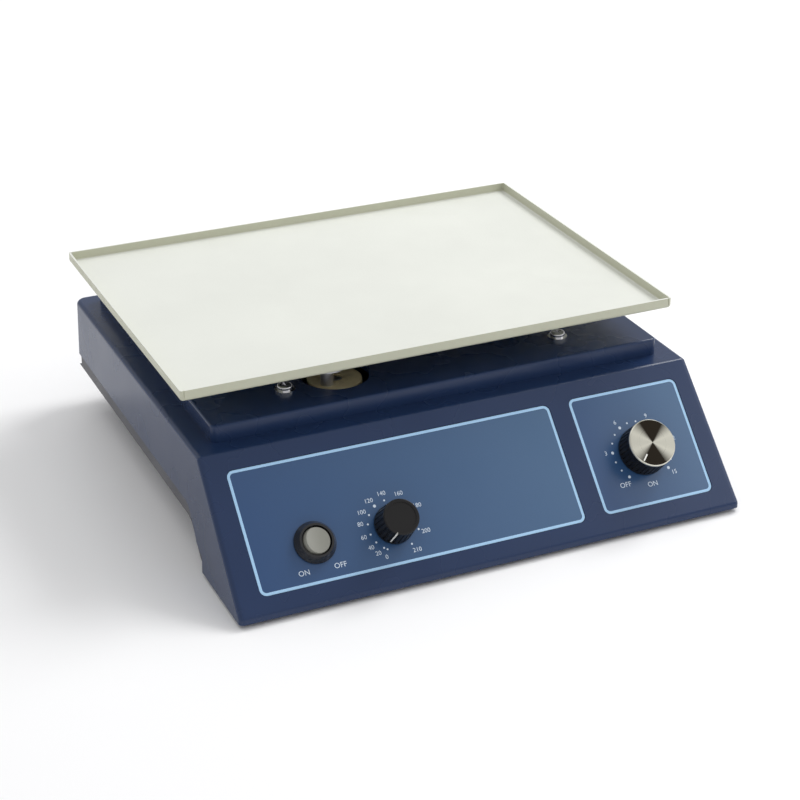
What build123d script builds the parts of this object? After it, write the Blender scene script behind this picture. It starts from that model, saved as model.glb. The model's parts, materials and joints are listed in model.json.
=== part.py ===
from build123d import *
from math import atan2, cos, degrees, hypot, radians, sin
import os

# Orbital shaker, in millimetres.
# Origin on the bench under the middle of the housing, +Z up, front panel towards -Y.

# Driving sizes of the housing
body_width = 323.0            # across the shoulder
body_depth = 322.0            # front lip to back wall
side_draft = 1.6              # degrees, each side wall
back_draft = 1.6
shoulder_height = 75.6
front_lip_bottom = 2.5        # clearance of the cover's front lip above the bench
front_lip_top = 6.1
slope_run = 68.3              # level distance covered by the sloping panel
cover_wall = 2.8
corner_round = 7.0            # upright corners at the back
edge_round = 3.0              # long outer edges of the cover
inner_round = 1.0

# Raised deck under the tray
deck_width = 296.0
deck_depth = 228.4
deck_rise = 10.8
deck_shift = 34.0             # centre of the deck behind the middle of the housing
deck_corner = 4.0
deck_edge = 1.6

# Parting line between cover and base
seam_height = 36.5
seam_gap = 0.2
seam_drop_back = -74.5        # where the line starts to drop
seam_drop_front = -88.5
seam_low = 17.0
seam_foot = 13.0              # last point of the line before it turns down
seam_front = -97.0
seam_radii = (12.0, 6.0, 2.0)

# Base shell
base_wall = 2.5
base_inset = 1.2              # how far the base's side stands inside the cover's
base_bottom = 5.0
tuck_height = 26.5            # lower edge of the upright band
tuck_run = 19.0               # how far the sloping underside runs in
lip_height = 3.0              # locating lip inside the cover
lip_wall = 1.4
lip_clearance = 0.3
floor_rim = 1.8               # rim of the front floor inside the cover

# Feet and case screws
foot_radius = 10.0
foot_places = ((-135.0, -135.0), (135.0, -135.0), (-105.0, 118.0), (105.0, 118.0))
foot_bore = 2.3
foot_head_radius = 5.0
foot_head_depth = 3.0
case_boss_places = ((-149.0, -112.0), (149.0, -112.0), (-130.0, 126.0), (130.0, 126.0))
case_boss_radius = 5.0
case_pilot = 1.5
case_screw_radius = 2.0
case_head_radius = 3.8
case_head_height = 2.4
case_screw_reach = 14.0
seat_height = 4.5             # base boss around each case screw
boss_gap = 0.2

# Front panel labels, measured from the middle and down the slope
label_recess = 1.0
label_thick = 0.6
label_corner = 4.0
label_fit = 0.25
main_label = (-147.7, 59.9, 11.5, 87.0)
timer_label = (73.5, 148.8, 11.2, 86.2)

# Controls on the slope: across, down the slope
switch_place = (-108.3, 63.2)
speed_place = (-59.2, 63.1)
timer_place = (110.6, 52.5)
bush_radius = 3.5
bush_clearance = 0.2
bush_stand = 3.4              # bush end above the slope's surface
nut_across = 10.0
nut_thick = 2.0
spindle_radius = 3.0
spindle_end = 14.0            # end of the spindles above the slope
running_fit = 0.06

# Speed potentiometer and its knob
pot_radius = 8.5
pot_depth = 9.0
pot_lug_width = 13.0
pot_lug_reach = 13.5
speed_knob_base = 12.0
speed_knob_top = 10.8
speed_knob_height = 16.5
speed_flutes = 24
speed_flute_radius = 0.55
speed_zero = -149.5           # pointer angle at 0, clockwise from straight up

# Interval timer and its knob
timer_case = (52.0, 36.0, 19.0)
timer_knob_base = 15.6
timer_knob_top = 15.0
timer_knob_height = 16.5
timer_cap_thick = 1.6
timer_cap_chamfer = 0.7
timer_flutes = 36
timer_flute_radius = 0.5
timer_off = -135.7            # pointer angle at OFF, clockwise from straight up
knob_lift = 0.6               # knobs above the label
knob_hollow_radius = 8.0
knob_hollow_depth = 4.2
knob_wall_groove = 0.35
pointer_width = 1.0
pointer_depth = 0.3

# Round rocker switch
switch_flange_radius = 12.6
switch_rim_radius = 10.2
switch_height = 5.0
switch_mouth_radius = 8.9
switch_body_radius = 9.7
switch_body_depth = 17.0
switch_well_depth = 9.0
switch_hole_clearance = 0.25
terminal_size = (0.8, 4.8, 6.5)
rocker_ball_radius = 8.4
rocker_pivot_height = 1.6
rocker_face_height = 4.4      # face above the pivot when level
rocker_tilt = 7.0             # each way from level
rocker_dish_radius = 34.0
rocker_pin_radius = 1.2
rocker_skirt = 5.6            # ball cut off below the pivot

# Orbit
orbit_radius = 10.0
orbit_phase = 220.5           # degrees, where the eccentrics stand in the photograph
crank_left_x = -56.6
crank_right_x = 113.2
crank_spread = 78.0           # front and rear cranks from the deck's middle line

# Crank discs, shafts, bearings
deck_hole_radius = 21.3
disc_radius = 16.9
disc_below_deck = 2.2
disc_thick = 9.0
disc_edge = 0.8
disc_boss_radius = 7.0
shaft_radius = 5.0
shaft_in_disc = 5.0
bearing_outer = 13.0
bearing_width = 8.0
bearing_groove = 0.6
disc_screw_radius = 2.5
disc_screw_head = 4.6
disc_screw_head_height = 2.0
disc_screw_sink = 0.6
pin_radius = 4.0
pin_in_disc = 6.0
cup_bearing_outer = 9.5
cup_bearing_width = 6.0

# Bearing housings and the chassis plate that carries them
plate_top = 72.0
plate_thick = 3.0
plate_margin = 3.0            # plate beyond the housings' flanges and the deck's posts
housing_radius = 17.0
housing_flange_radius = 26.0
housing_flange_thick = 5.0
housing_spigot = 1.2          # stands above the plate
housing_bottom = 38.0
housing_waist_bore = 11.0
housing_screw_circle = 21.5
housing_screw_radius = 2.0
housing_screw_head = 3.5
housing_screw_head_height = 2.5
ring_radius = 7.0
ring_thick = 1.2
ring_gap = 0.2
idler_tail = 3.0

# Deck screws, which hold the chassis plate up against the deck's posts
deck_screw_x = 92.0
deck_screw_y = 86.0
deck_screw_radius = 2.5
deck_head_radius = 4.7
deck_head_height = 3.0
deck_washer_radius = 6.2
deck_washer_thick = 0.9
deck_post_radius = 7.0

# Belt drive
pulley_bottom = 11.0
pulley_width = 12.0
flange_thick = 1.5
belt_width = 8.0
belt_thick = 2.0
belt_clearance = 0.3
crank_pulley_radius = 36.0    # where the belt's inner face runs
motor_pulley_radius = 12.0
flange_rise = 3.0
pulley_web_radius = 30.0
pulley_hub_radius = 10.0
pulley_web_thick = 4.0
shaft_tail = 1.0
motor_place = (14.0, 20.0)
motor_radius = 32.0
motor_bottom = 30.0
motor_step_radius = 12.0
motor_step = 3.0
motor_shaft_radius = 4.0
motor_screw_circle = 24.0
motor_boss_radius = 10.0
weight_radius = 33.0
weight_bottom = 25.5
weight_thick = 9.0
weight_hub_radius = 10.0

# Tray and what holds it
tray_length = 320.0
tray_depth = 229.2
tray_bottom = 109.2
tray_height = 6.8
tray_sheet = 1.2
tray_bend = 2.2
tray_corner = 1.6
tray_slit = 0.4
carrier_thick = 3.0
carrier_corner = 22.0
cup_radius = 12.0
cup_depth = 6.7
cup_flange_radius = 19.0
cup_flange_thick = 3.0
cup_roof = 1.6
cup_screw_circle = 15.5
cup_screw_radius = 1.5
cup_screw_head = 2.8
cup_screw_head_height = 1.6
stud_radius = 2.0
stud_length = 9.5
stud_places = ((-34.0, -62.0), (-34.0, 62.0), (62.0, -34.0), (62.0, 34.0))
stud_nut_across = 7.0
stud_nut_thick = 3.2
stud_clearance = 0.2

# Circuit board and transformer on the base
board_box = (64.0, 146.0, -74.0, -8.0)
board_stand = 6.5
board_thick = 1.6
board_inset = 6.0
board_post_radius = 3.6
board_screw_radius = 1.5
board_screw_head = 2.8
transformer_place = (36.0, 112.0)
transformer_core_size = (50.0, 20.0, 42.0)
transformer_coil_size = (34.0, 36.0, 27.0)
transformer_foot = (70.0, 20.0, 2.0)
transformer_screw_x = 30.0

# Mains inlet and fuse holder in the back wall
inlet_x = 106.0
inlet_z = 55.5
inlet_flange = (50.0, 22.6)
inlet_flange_thick = 2.6
inlet_flange_corner = 3.0
inlet_shell = (29.4, 21.0)
inlet_socket = (24.4, 16.2)
inlet_corner = 4.2            # cut corners of the socket
inlet_socket_depth = 15.5
inlet_back_wall = 5.0
inlet_hole_clearance = 0.3
inlet_screw_x = 20.0
inlet_screw_radius = 1.6
inlet_screw_head = 2.9
pin_size = (2.0, 4.0)
pin_pitch = 7.0
pin_earth_rise = 4.0
pin_reach = 12.5
pin_tail = 7.0
fuse_x = 62.0
fuse_body_radius = 6.0
fuse_flange_radius = 8.4
fuse_flange_thick = 1.6
fuse_cap_radius = 6.6
fuse_cap_height = 3.0
fuse_depth = 26.0
fuse_nut_radius = 9.0

# Worked-out places
body_front = -body_depth / 2
body_back = body_depth / 2
slope_top_y = body_front + slope_run
slope_angle = degrees(atan2(shoulder_height - front_lip_top, slope_run))
deck_top = shoulder_height + deck_rise
deck_under = deck_top - cover_wall
cranks = {
    "drive": (crank_left_x, deck_shift - crank_spread),
    "rear_idler": (crank_left_x, deck_shift + crank_spread),
    "side_idler": (crank_right_x, deck_shift),
}
orbit_x = orbit_radius * cos(radians(orbit_phase))
orbit_y = orbit_radius * sin(radians(orbit_phase))
disc_top = deck_top - disc_below_deck
plate_under = plate_top - plate_thick
upper_bearing_top = plate_top + housing_spigot
cup_bottom = tray_bottom - carrier_thick - cup_flange_thick - cup_depth
base_floor = base_bottom + base_wall
slope_plane = Plane(
    origin=(0, slope_top_y, shoulder_height),
    x_dir=(1, 0, 0),
    z_dir=(0, -sin(radians(slope_angle)), cos(radians(slope_angle))),
)


core_overrun = 12.0           # how far a hollow's core runs past its opening
panel_thick = label_recess + cover_wall   # slope wall with the label's backing
spindle_depth = 6.0
knob_base_height = label_thick - label_recess + knob_lift
knob_skirt = 1.6
knob_land = 1.4
timer_pointer = (8.8, 14.0)
rocker_dish = 0.9
case_screw_shank = case_pilot
motor_screw_depth = 6.0
pin_top = cup_bottom + 0.5 + cup_bearing_width + 0.2
carrier_open = 0.45
carrier_open_round = 8.0
vent_left = 0.0
vent_right = 76.0
vent_rear_y = 60.0
vent_front_y = -60.0
vent_count = 8
vent_pitch = 9.0
vent_width = 4.0
vent_length = 34.0


# Small helpers
def rod(radius, low, high, x=0.0, y=0.0):
    """Upright cylinder between two heights."""
    return Pos(x, y, low) * Cylinder(radius, high - low, align=(Align.CENTER, Align.CENTER, Align.MIN))


def tube(outer, inner, low, high, x=0.0, y=0.0):
    """Upright tube between two heights."""
    return rod(outer, low, high, x, y) - rod(inner, low - 1, high + 1, x, y)


def block(x0, x1, y0, y1, z0, z1):
    """Box between two corners."""
    return Pos((x0 + x1) / 2, (y0 + y1) / 2, (z0 + z1) / 2) * Box(x1 - x0, y1 - y0, z1 - z0)


def on_slope(place, height=0.0):
    """Location on the front panel: across, down the slope, and out from its surface."""
    return slope_plane.location * Pos(place[0], -place[1], height)


def group(solids):
    """Several loose solids in one node."""
    return Compound(children=list(solids))


def side_face(points):
    """Face in the side plane from (y, z) points."""
    return make_face(Polyline(*[(0, y, z) for y, z in points], close=True))


def front_face(points):
    """Face in the front plane from (x, z) points."""
    return make_face(Polyline(*[(x, 0, z) for x, z in points], close=True))


def across(face, half_width):
    """Side-plane face extruded both ways along X."""
    return extrude(face, amount=half_width, dir=(1, 0, 0), both=True)


def along(face, half_depth):
    """Front-plane face extruded both ways along Y."""
    return extrude(face, amount=half_depth, dir=(0, 1, 0), both=True)


def turned(points):
    """Solid of revolution about Z from (radius, height) points."""
    return revolve(make_face(Polyline(*[(r, 0, z) for r, z in points], close=True)), Axis.Z)


def ring_of(count, radius, start=0.0):
    """Places evenly round a circle."""
    steps = [radians(start + 360 * i / count) for i in range(count)]
    return [(radius * cos(a), radius * sin(a)) for a in steps]


def pan_screw(radius, head_radius, head_height, length):
    """Screw with its shank down along -Z, the head's seat at zero, and a rounded pan head."""
    head = Cylinder(head_radius, head_height, align=(Align.CENTER, Align.CENTER, Align.MIN))
    head = fillet(head.edges().sort_by(Axis.Z)[-1], head_height * 0.45)
    slot = Pos(0, 0, head_height) * Box(head_radius * 1.1, radius * 0.36, head_height * 0.7)
    shank = Pos(0, 0, -length) * Cylinder(radius, length, align=(Align.CENTER, Align.CENTER, Align.MIN))
    return head + shank - slot - Rot(0, 0, 90) * slot


def hexagon_nut(flats, thick, bore):
    """Nut standing on zero."""
    outline = RegularPolygon(flats / 2, 6, major_radius=False)
    return extrude(outline, thick) - Cylinder(bore, thick * 4)


# Housing outlines
def half_width_at(z, inset=0.0):
    """Half width between the drafted side walls at a height."""
    return body_width / 2 + (shoulder_height - z) * sin(radians(side_draft)) - inset


def back_at(z, inset=0.0):
    """Back wall at a height."""
    return body_back - (z - seam_height) * sin(radians(back_draft)) - inset


def body_form(inset=0.0):
    """Wedge of the cover: sloping front, level shoulder, drafted sides and back."""
    angle = radians(slope_angle)
    low = front_lip_bottom - (core_overrun if inset else 0.0)
    high = shoulder_height - inset
    front = body_front + inset
    reach = slope_top_y * sin(angle) - shoulder_height * cos(angle) + inset
    side = side_face([
        (front, low),
        (front, (front * sin(angle) - reach) / cos(angle)),
        ((reach + high * cos(angle)) / sin(angle), high),
        (back_at(high, inset), high),
        (back_at(low, inset), low),
    ])
    wide = half_width_at(low, inset)
    narrow = half_width_at(high, inset)
    ends = front_face([(-wide, low), (wide, low), (narrow, high), (-narrow, high)])
    form = across(side, body_width) & along(ends, body_depth)
    upright = form.edges().filter_by(
        lambda e: e.center().Y > body_back - corner_round and e.bounding_box().size.Z > shoulder_height / 2
    )
    form = fillet(upright, max(corner_round - inset, inner_round))
    rest = form.edges().filter_by(
        lambda e: e.bounding_box().max.Z > low + 0.5
        and not (e.center().Y > body_back - 2 * corner_round and e.bounding_box().size.Z > shoulder_height / 2)
    )
    return fillet(rest, inner_round if inset else edge_round)


def deck_form(inset=0.0):
    """Raised plateau under the tray, reaching down into the shoulder."""
    low = shoulder_height - cover_wall - (core_overrun if inset else 0.0)
    high = deck_top - inset
    form = Pos(0, deck_shift, 0) * block(
        -deck_width / 2 + inset, deck_width / 2 - inset, -deck_depth / 2 + inset, deck_depth / 2 - inset, low, high
    )
    form = fillet(form.edges().filter_by(Axis.Z), max(deck_corner - inset, inner_round))
    return fillet(form.faces().sort_by(Axis.Z)[-1].edges(), inner_round if inset else deck_edge)


def below_seam(drop=0.0, half_width=None):
    """Everything under the parting line, which drops towards the front pod."""
    back = body_back + corner_round
    line = FilletPolyline(
        (0, back, seam_height - drop),
        (0, seam_drop_back, seam_height - drop),
        (0, seam_drop_front, seam_low - drop),
        (0, seam_front, seam_foot - drop),
        (0, seam_front, -core_overrun),
        radius=list(seam_radii),
    )
    closing = Polyline((0, seam_front, -core_overrun), (0, back, -core_overrun), (0, back, seam_height - drop))
    return across(make_face(line + closing), half_width or body_width)


# Cover
def cover_bosses():
    """Posts inside the cover: four down to the chassis plate, four down to the base."""
    posts = []
    for x, y in deck_screw_places():
        posts.append(tube(deck_post_radius, deck_screw_radius + bush_clearance, plate_top, deck_under + 0.5, x, y))
    for x, y in case_boss_places:
        posts.append(rod(case_boss_radius, base_floor + seat_height + boss_gap, deck_top - cover_wall / 2, x, y))
    return posts


def deck_screw_places():
    """Centres of the four deck screws."""
    return [(sx * deck_screw_x, deck_shift + sy * deck_screw_y) for sx in (-1, 1) for sy in (-1, 1)]


def label_pocket(box, grow, depth, height):
    """Rounded rectangle on the slope, its top at the given height."""
    left, right, upper, lower = box
    outline = RectangleRounded(right - left + 2 * grow, lower - upper + 2 * grow, label_corner + grow)
    return on_slope(((left + right) / 2, (upper + lower) / 2), height - depth) * extrude(outline, depth)


def panel_hole(place, radius):
    """Hole through the sloping wall, square to it."""
    return on_slope(place) * Cylinder(radius, 4 * cover_wall)


def top_cover():
    """Moulded cover: thin shell with the deck, its crank wells, the label recesses and every cut-out."""
    outer = body_form() + deck_form()
    core = body_form(cover_wall) + deck_form(cover_wall)
    shell = outer - core
    backing = label_pocket(
        (main_label[0], timer_label[1], main_label[2], main_label[3]), 2 * label_recess,
        panel_thick - label_recess / 2, -label_recess / 2,
    )
    shell = shell + (backing & outer) - below_seam()
    shell += [post & outer for post in cover_bosses()]
    for x, y in case_boss_places:
        shell -= rod(case_pilot, 0, base_floor + seat_height + case_screw_reach, x, y)
    for box in (main_label, timer_label):
        shell -= label_pocket(box, label_fit, label_recess * 2, label_recess)
    for x, y in deck_screw_places():
        shell -= rod(deck_screw_radius + bush_clearance, plate_under, deck_top + 1, x, y)
    for x, y in cranks.values():
        shell -= rod(deck_hole_radius, plate_top, deck_top + 1, x, y)
    shell -= panel_hole(switch_place, switch_body_radius + switch_hole_clearance)
    for place in (speed_place, timer_place):
        shell -= panel_hole(place, bush_radius + bush_clearance)
    return shell - back_cut_outs()


def back_cut_outs():
    """Holes in the back wall for the mains inlet and the fuse holder."""
    reach = 3 * cover_wall
    cuts = wall_location(inlet_x) * Box(
        inlet_shell[0] + 2 * inlet_hole_clearance, inlet_shell[1] + 2 * inlet_hole_clearance, 2 * reach
    )
    for x in (-inlet_screw_x, inlet_screw_x):
        cuts += wall_location(inlet_x) * Pos(x, 0, 0) * Cylinder(inlet_screw_radius + inlet_hole_clearance, 2 * reach)
    return cuts + wall_location(fuse_x) * Cylinder(fuse_body_radius + inlet_hole_clearance, 2 * reach)


def label_plate(box, holes):
    """Printed overlay lying in its recess on the slope."""
    plate = label_pocket(box, 0.0, label_thick, label_thick - label_recess)
    for place, radius in holes:
        plate -= panel_hole(place, radius)
    return plate


# Base shell
def pan_form(inset=0.0):
    """Rear pan with its sloping underside."""
    low = base_bottom + inset
    high = tuck_height + (core_overrun if inset else seam_gap)
    wide = half_width_at(seam_height, base_inset + inset)
    back = back_at(seam_height, base_inset + inset)
    side = side_face([
        (seam_front + inset, low), (seam_front + inset, high), (back, high), (back, tuck_height), (back - tuck_run, low),
    ])
    ends = front_face([
        (-wide + tuck_run, low), (wide - tuck_run, low), (wide, tuck_height), (wide, high), (-wide, high),
        (-wide, tuck_height),
    ])
    return across(side, body_width) & along(ends, body_depth)


def band_form(inset=0.0):
    """Upright band of the base between the tuck and the parting line."""
    wide = half_width_at(seam_height, base_inset + inset)
    back = back_at(seam_height, base_inset + inset)
    drop = seam_height - tuck_height
    prism = block(-wide, wide, seam_front + inset, back, base_bottom + inset, seam_height + (lip_height if inset else 0))
    prism = fillet(
        prism.edges().filter_by(Axis.Z).group_by(Axis.Y)[-1], max(corner_round - base_inset - inset, inner_round)
    )
    tuck = below_seam(drop - inset, body_width)
    return prism - tuck


def front_floor(inset=0.0):
    """Low tray that closes the front pod from below."""
    top = base_floor + floor_rim + (lip_height if inset else 0)
    room = block(-body_width, body_width, body_front, seam_front + base_wall - inset, base_bottom + inset, top)
    return body_form(cover_wall + lip_clearance + inset) & room


def base_lip():
    """Locating lip that stands inside the cover along the level part of the parting line."""
    wide = half_width_at(seam_height, cover_wall + lip_clearance)
    back = back_at(seam_height, cover_wall + lip_clearance)
    top = seam_height + lip_height
    low = seam_height - lip_height
    front = seam_drop_back + seam_radii[0] * 2
    ring = block(-wide, wide, front, back, low, top)
    ring = fillet(ring.edges().filter_by(Axis.Z).group_by(Axis.Y)[-1], corner_round - cover_wall)
    hollow = block(-wide + lip_wall, wide - lip_wall, front - 1, back - lip_wall, low - 1, top + 1)
    return ring - hollow


def base_shell():
    """Moulded base: pan, upright band, front floor, locating lip, screw seats and board posts."""
    shell = ((pan_form() + band_form()) & below_seam(seam_gap)) + front_floor()
    shell -= pan_form(base_wall)
    shell -= band_form(base_wall)
    shell -= front_floor(base_wall)
    inner = pan_width_inside()
    shell -= block(-inner, inner, seam_front - 2 * base_wall, seam_front + 2 * base_wall, base_floor, seam_height)
    shell += base_lip()
    for x, y in case_boss_places:
        shell += rod(case_boss_radius, base_bottom, base_floor + seat_height, x, y)
        shell -= rod(case_screw_radius + bush_clearance, 0, seam_height, x, y)
        shell -= rod(case_head_radius + bush_clearance, 0, base_floor + seat_height - base_wall, x, y)
    for x, y in foot_places:
        shell += rod(case_boss_radius, base_floor, base_floor + seat_height, x, y)
        shell -= rod(case_pilot, 0, seam_height, x, y)
    for x, y in board_screw_places():
        shell += rod(board_post_radius, base_floor, base_floor + board_stand, x, y)
        shell -= rod(board_screw_radius, base_floor, base_floor + board_stand + 1, x, y)
    for x, y in transformer_screw_places():
        shell -= rod(board_screw_radius, base_floor - 1.5, base_floor + 1, x, y)
    for slot in vent_slots():
        shell -= slot
    return shell


def pan_width_inside():
    """Half width of the flat floor inside the pan."""
    return half_width_at(seam_height, base_inset + base_wall) - tuck_run


def vent_slots():
    """Rows of cooling slots under the transformer and the board."""
    slots = []
    for x0, y in ((vent_left, vent_rear_y), (vent_right, vent_front_y)):
        for i in range(vent_count):
            x = x0 + i * vent_pitch
            slots.append(block(x, x + vent_width, y, y + vent_length, base_bottom - 1, base_floor + 1))
    return slots


def board_screw_places():
    """Corner screws of the circuit board."""
    x0, x1, y0, y1 = board_box
    return [(x, y) for x in (x0 + board_inset, x1 - board_inset) for y in (y0 + board_inset, y1 - board_inset)]


def transformer_screw_places():
    """Two screws through the transformer's foot."""
    x, y = transformer_place
    return [(x - transformer_screw_x, y), (x + transformer_screw_x, y)]


def foot(x, y):
    """Rubber foot with a sunk screw hole."""
    body = rod(foot_radius, 0, base_bottom, x, y)
    body = chamfer(body.edges().group_by(Axis.Z)[0], 1.0)
    return body - rod(foot_bore, -1, base_bottom + 1, x, y) - rod(foot_head_radius, -1, foot_head_depth, x, y)


def foot_screw(x, y):
    """Screw that holds a foot, its head up inside the foot."""
    screw = Rot(180, 0, 0) * pan_screw(case_pilot, foot_head_radius - 1.2, 1.8, base_wall + seat_height)
    return Pos(x, y, foot_head_depth) * screw


def case_screw(x, y):
    """Screw from below through the base into the cover's post."""
    screw = Rot(180, 0, 0) * pan_screw(case_screw_shank, case_head_radius, case_head_height, case_screw_reach)
    return Pos(x, y, base_floor + seat_height - base_wall) * screw


# Mechanism: chassis, housings and bearings
def chassis_plate():
    """Steel plate under the deck, with a clear hole for each bearing housing and the motor."""
    rounds = [(x, y, housing_flange_radius + plate_margin) for x, y in cranks.values()]
    rounds += [(x, y, deck_post_radius + plate_margin) for x, y in deck_screw_places()]
    plate = Pos(0, 0, plate_under) * extrude(
        make_hull([(Pos(x, y) * Circle(radius)).edge() for x, y, radius in rounds]), plate_thick
    )
    for x, y in cranks.values():
        plate -= rod(housing_radius + bush_clearance, plate_under - 1, plate_top + 1, x, y)
        for dx, dy in housing_screw_offsets():
            plate -= rod(housing_screw_radius, plate_under - 1, plate_top + 1, x + dx, y + dy)
    for x, y in deck_screw_places():
        plate -= rod(deck_screw_radius, plate_under - 1, plate_top + 1, x, y)
    plate -= rod(motor_boss_radius + bush_clearance, plate_under - 1, plate_top + 1, *motor_place)
    for x, y in motor_screw_places():
        plate -= rod(housing_screw_radius, plate_under - 1, plate_top + 1, x, y)
    return plate


def housing_screw_offsets():
    """Three screws round each bearing housing."""
    return ring_of(3, housing_screw_circle, 30)


def motor_screw_places():
    """Three screws through the plate into the motor."""
    x, y = motor_place
    return [(x + dx, y + dy) for dx, dy in ring_of(3, motor_screw_circle, 90)]


def chassis_screws():
    """Screws down through the plate into the bearing housings and the motor."""
    screw = pan_screw(
        housing_screw_radius, housing_screw_head, housing_screw_head_height, plate_thick + housing_flange_thick
    )
    places = [(x + dx, y + dy) for x, y in cranks.values() for dx, dy in housing_screw_offsets()]
    return [Pos(x, y, plate_top) * screw for x, y in places + motor_screw_places()]


def bearing_housing(x, y):
    """Flanged housing for two ball bearings, hung from the plate by its flange."""
    top = upper_bearing_top
    flange_top = plate_under
    body = turned([
        (bearing_outer, housing_bottom), (housing_radius, housing_bottom),
        (housing_radius, flange_top - housing_flange_thick), (housing_flange_radius, flange_top - housing_flange_thick),
        (housing_flange_radius, flange_top), (housing_radius, flange_top), (housing_radius, top), (bearing_outer, top),
        (bearing_outer, top - bearing_width), (housing_waist_bore, top - bearing_width),
        (housing_waist_bore, housing_bottom + bearing_width), (bearing_outer, housing_bottom + bearing_width),
    ])
    for dx, dy in housing_screw_offsets():
        body -= Pos(dx, dy, flange_top) * Cylinder(housing_screw_radius, housing_flange_thick * 3)
    return Pos(x, y, 0) * body


def ball_bearing(bore, outer, low, width):
    """Ball bearing with its two rings marked off by a shallow groove on each face."""
    rib = (outer - bore) / 4
    middle = (outer + bore) / 2
    ring = tube(outer, bore, low, low + width)
    for z in (low - bearing_groove, low + width - bearing_groove):
        ring -= tube(middle + rib, middle - rib, z + 1e-3, z + 2 * bearing_groove)
    return ring


def shaft_bearings():
    """Two bearings in each housing, standing clear of the turning shafts by the running fit."""
    bearings = []
    for x, y in cranks.values():
        for low in (housing_bottom, upper_bearing_top - bearing_width):
            bearings.append(Pos(x, y, 0) * ball_bearing(shaft_radius + running_fit, bearing_outer, low, bearing_width))
    return bearings


# Cranks
def crank_disc():
    """Nylon disc seen in the deck's well, with its boss down to the bearing, about its own axis."""
    low = disc_top - disc_thick
    body = rod(disc_radius, low, disc_top)
    body = fillet(body.edges().group_by(Axis.Z)[-1], disc_edge)
    body += rod(disc_boss_radius, upper_bearing_top + ring_gap, low)
    body -= rod(shaft_radius, 0, low + shaft_in_disc)
    body -= rod(disc_screw_radius, low, disc_top + 1)
    body -= rod(disc_screw_head + bush_clearance, disc_top - disc_screw_sink - disc_screw_head_height, disc_top + 1)
    body -= Pos(orbit_x, orbit_y, 0) * rod(pin_radius, disc_top - pin_in_disc, disc_top + 1)
    return body


def crank_shaft(bottom):
    """Ground shaft with a chamfered tail and a tapped upper end."""
    body = rod(shaft_radius, bottom, disc_top - disc_thick + shaft_in_disc)
    body = chamfer(body.edges().group_by(Axis.Z)[0], 0.8)
    return body - rod(disc_screw_radius, disc_top - disc_thick - 8, disc_top)


def crank_pin():
    """Eccentric pin that carries the tray's bearing."""
    body = Pos(orbit_x, orbit_y, 0) * rod(pin_radius, disc_top - pin_in_disc, pin_top)
    return chamfer(body.edges().group_by(Axis.Z)[-1], 0.6)


def disc_screw():
    """Screw that clamps a disc on its shaft."""
    screw = pan_screw(disc_screw_radius, disc_screw_head, disc_screw_head_height, disc_thick)
    return Pos(0, 0, disc_top - disc_screw_sink - disc_screw_head_height) * screw


def retaining_ring():
    """Snap ring under an idler's lower bearing, open on one side."""
    high = housing_bottom - ring_gap
    ring = tube(ring_radius, shaft_radius, high - ring_thick, high)
    return ring - block(0, ring_radius + 1, -shaft_radius * 0.4, shaft_radius * 0.4, 0, housing_bottom)


def pulley(run_radius, bore, web=False):
    """Flat-belt pulley between two flanges; a large one is dished out to a web with lightening holes."""
    low = pulley_bottom
    high = low + pulley_width
    rim = run_radius + flange_rise
    body = turned([
        (bore, low), (rim, low), (rim, low + flange_thick), (run_radius, low + flange_thick),
        (run_radius, high - flange_thick), (rim, high - flange_thick), (rim, high), (bore, high),
    ])
    body = chamfer(body.edges().filter_by(GeomType.CIRCLE).filter_by(lambda e: abs(e.radius - rim) < 0.01), 0.5)
    if web:
        middle = (low + high) / 2
        for z0, z1 in ((low - 1, middle - pulley_web_thick / 2), (middle + pulley_web_thick / 2, high + 1)):
            body -= tube(pulley_web_radius, pulley_hub_radius, z0, z1)
        for x, y in ring_of(6, (pulley_web_radius + pulley_hub_radius) / 2):
            body -= rod(pulley_hub_radius * 0.65, low, high, x, y)
    return body


def counterweight():
    """Steel sector on the drive shaft, opposite the eccentric, which balances the moving tray."""
    low, high = weight_bottom, weight_bottom + weight_thick
    sector = tube(weight_radius, shaft_radius, low, high)
    sector -= rod(weight_radius + 1, low - 1, high + 1) & block(0, 99, -99, 99, low - 1, high + 1)
    hub = tube(weight_hub_radius, shaft_radius, low, high)
    return Rot(0, 0, orbit_phase) * (sector + hub)


def drive_belt():
    """Flat belt round both pulleys, a hair clear of the faces it runs on."""
    (ax, ay), (bx, by) = cranks["drive"], motor_place
    length = hypot(bx - ax, by - ay)
    low = pulley_bottom + (pulley_width - belt_width) / 2

    def loop(grow):
        big, small = crank_pulley_radius + grow, motor_pulley_radius + grow
        lean = (big - small) / length
        rise = (1 - lean * lean) ** 0.5
        tangents = make_face(Polyline(
            (big * lean, big * rise), (length + small * lean, small * rise),
            (length + small * lean, -small * rise), (big * lean, -big * rise), close=True,
        ))
        return Circle(big) + Pos(length, 0) * Circle(small) + tangents

    outline = loop(belt_clearance + belt_thick) - loop(belt_clearance)
    turn = degrees(atan2(by - ay, bx - ax))
    return Pos(ax, ay, low) * Rot(0, 0, turn) * extrude(outline, belt_width)


def drive_motor():
    """Flat permanent-magnet motor hung under the plate."""
    body = rod(motor_radius, motor_bottom, plate_under)
    body = fillet(body.edges().group_by(Axis.Z)[0], 2.0)
    body += rod(motor_step_radius, motor_bottom - motor_step, motor_bottom)
    body += rod(motor_boss_radius, plate_under, plate_top - bush_clearance)
    body -= rod(motor_shaft_radius + running_fit, 0, plate_under - 8)
    body = Pos(*motor_place, 0) * body
    for x, y in motor_screw_places():
        body -= rod(housing_screw_radius, plate_under - motor_screw_depth, plate_top, x, y)
    return body


def motor_shaft():
    """Motor shaft, chamfered at its end."""
    body = rod(motor_shaft_radius, pulley_bottom - shaft_tail, plate_under - 8.5)
    return Pos(*motor_place, 0) * chamfer(body.edges().group_by(Axis.Z)[0], 0.6)


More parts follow.
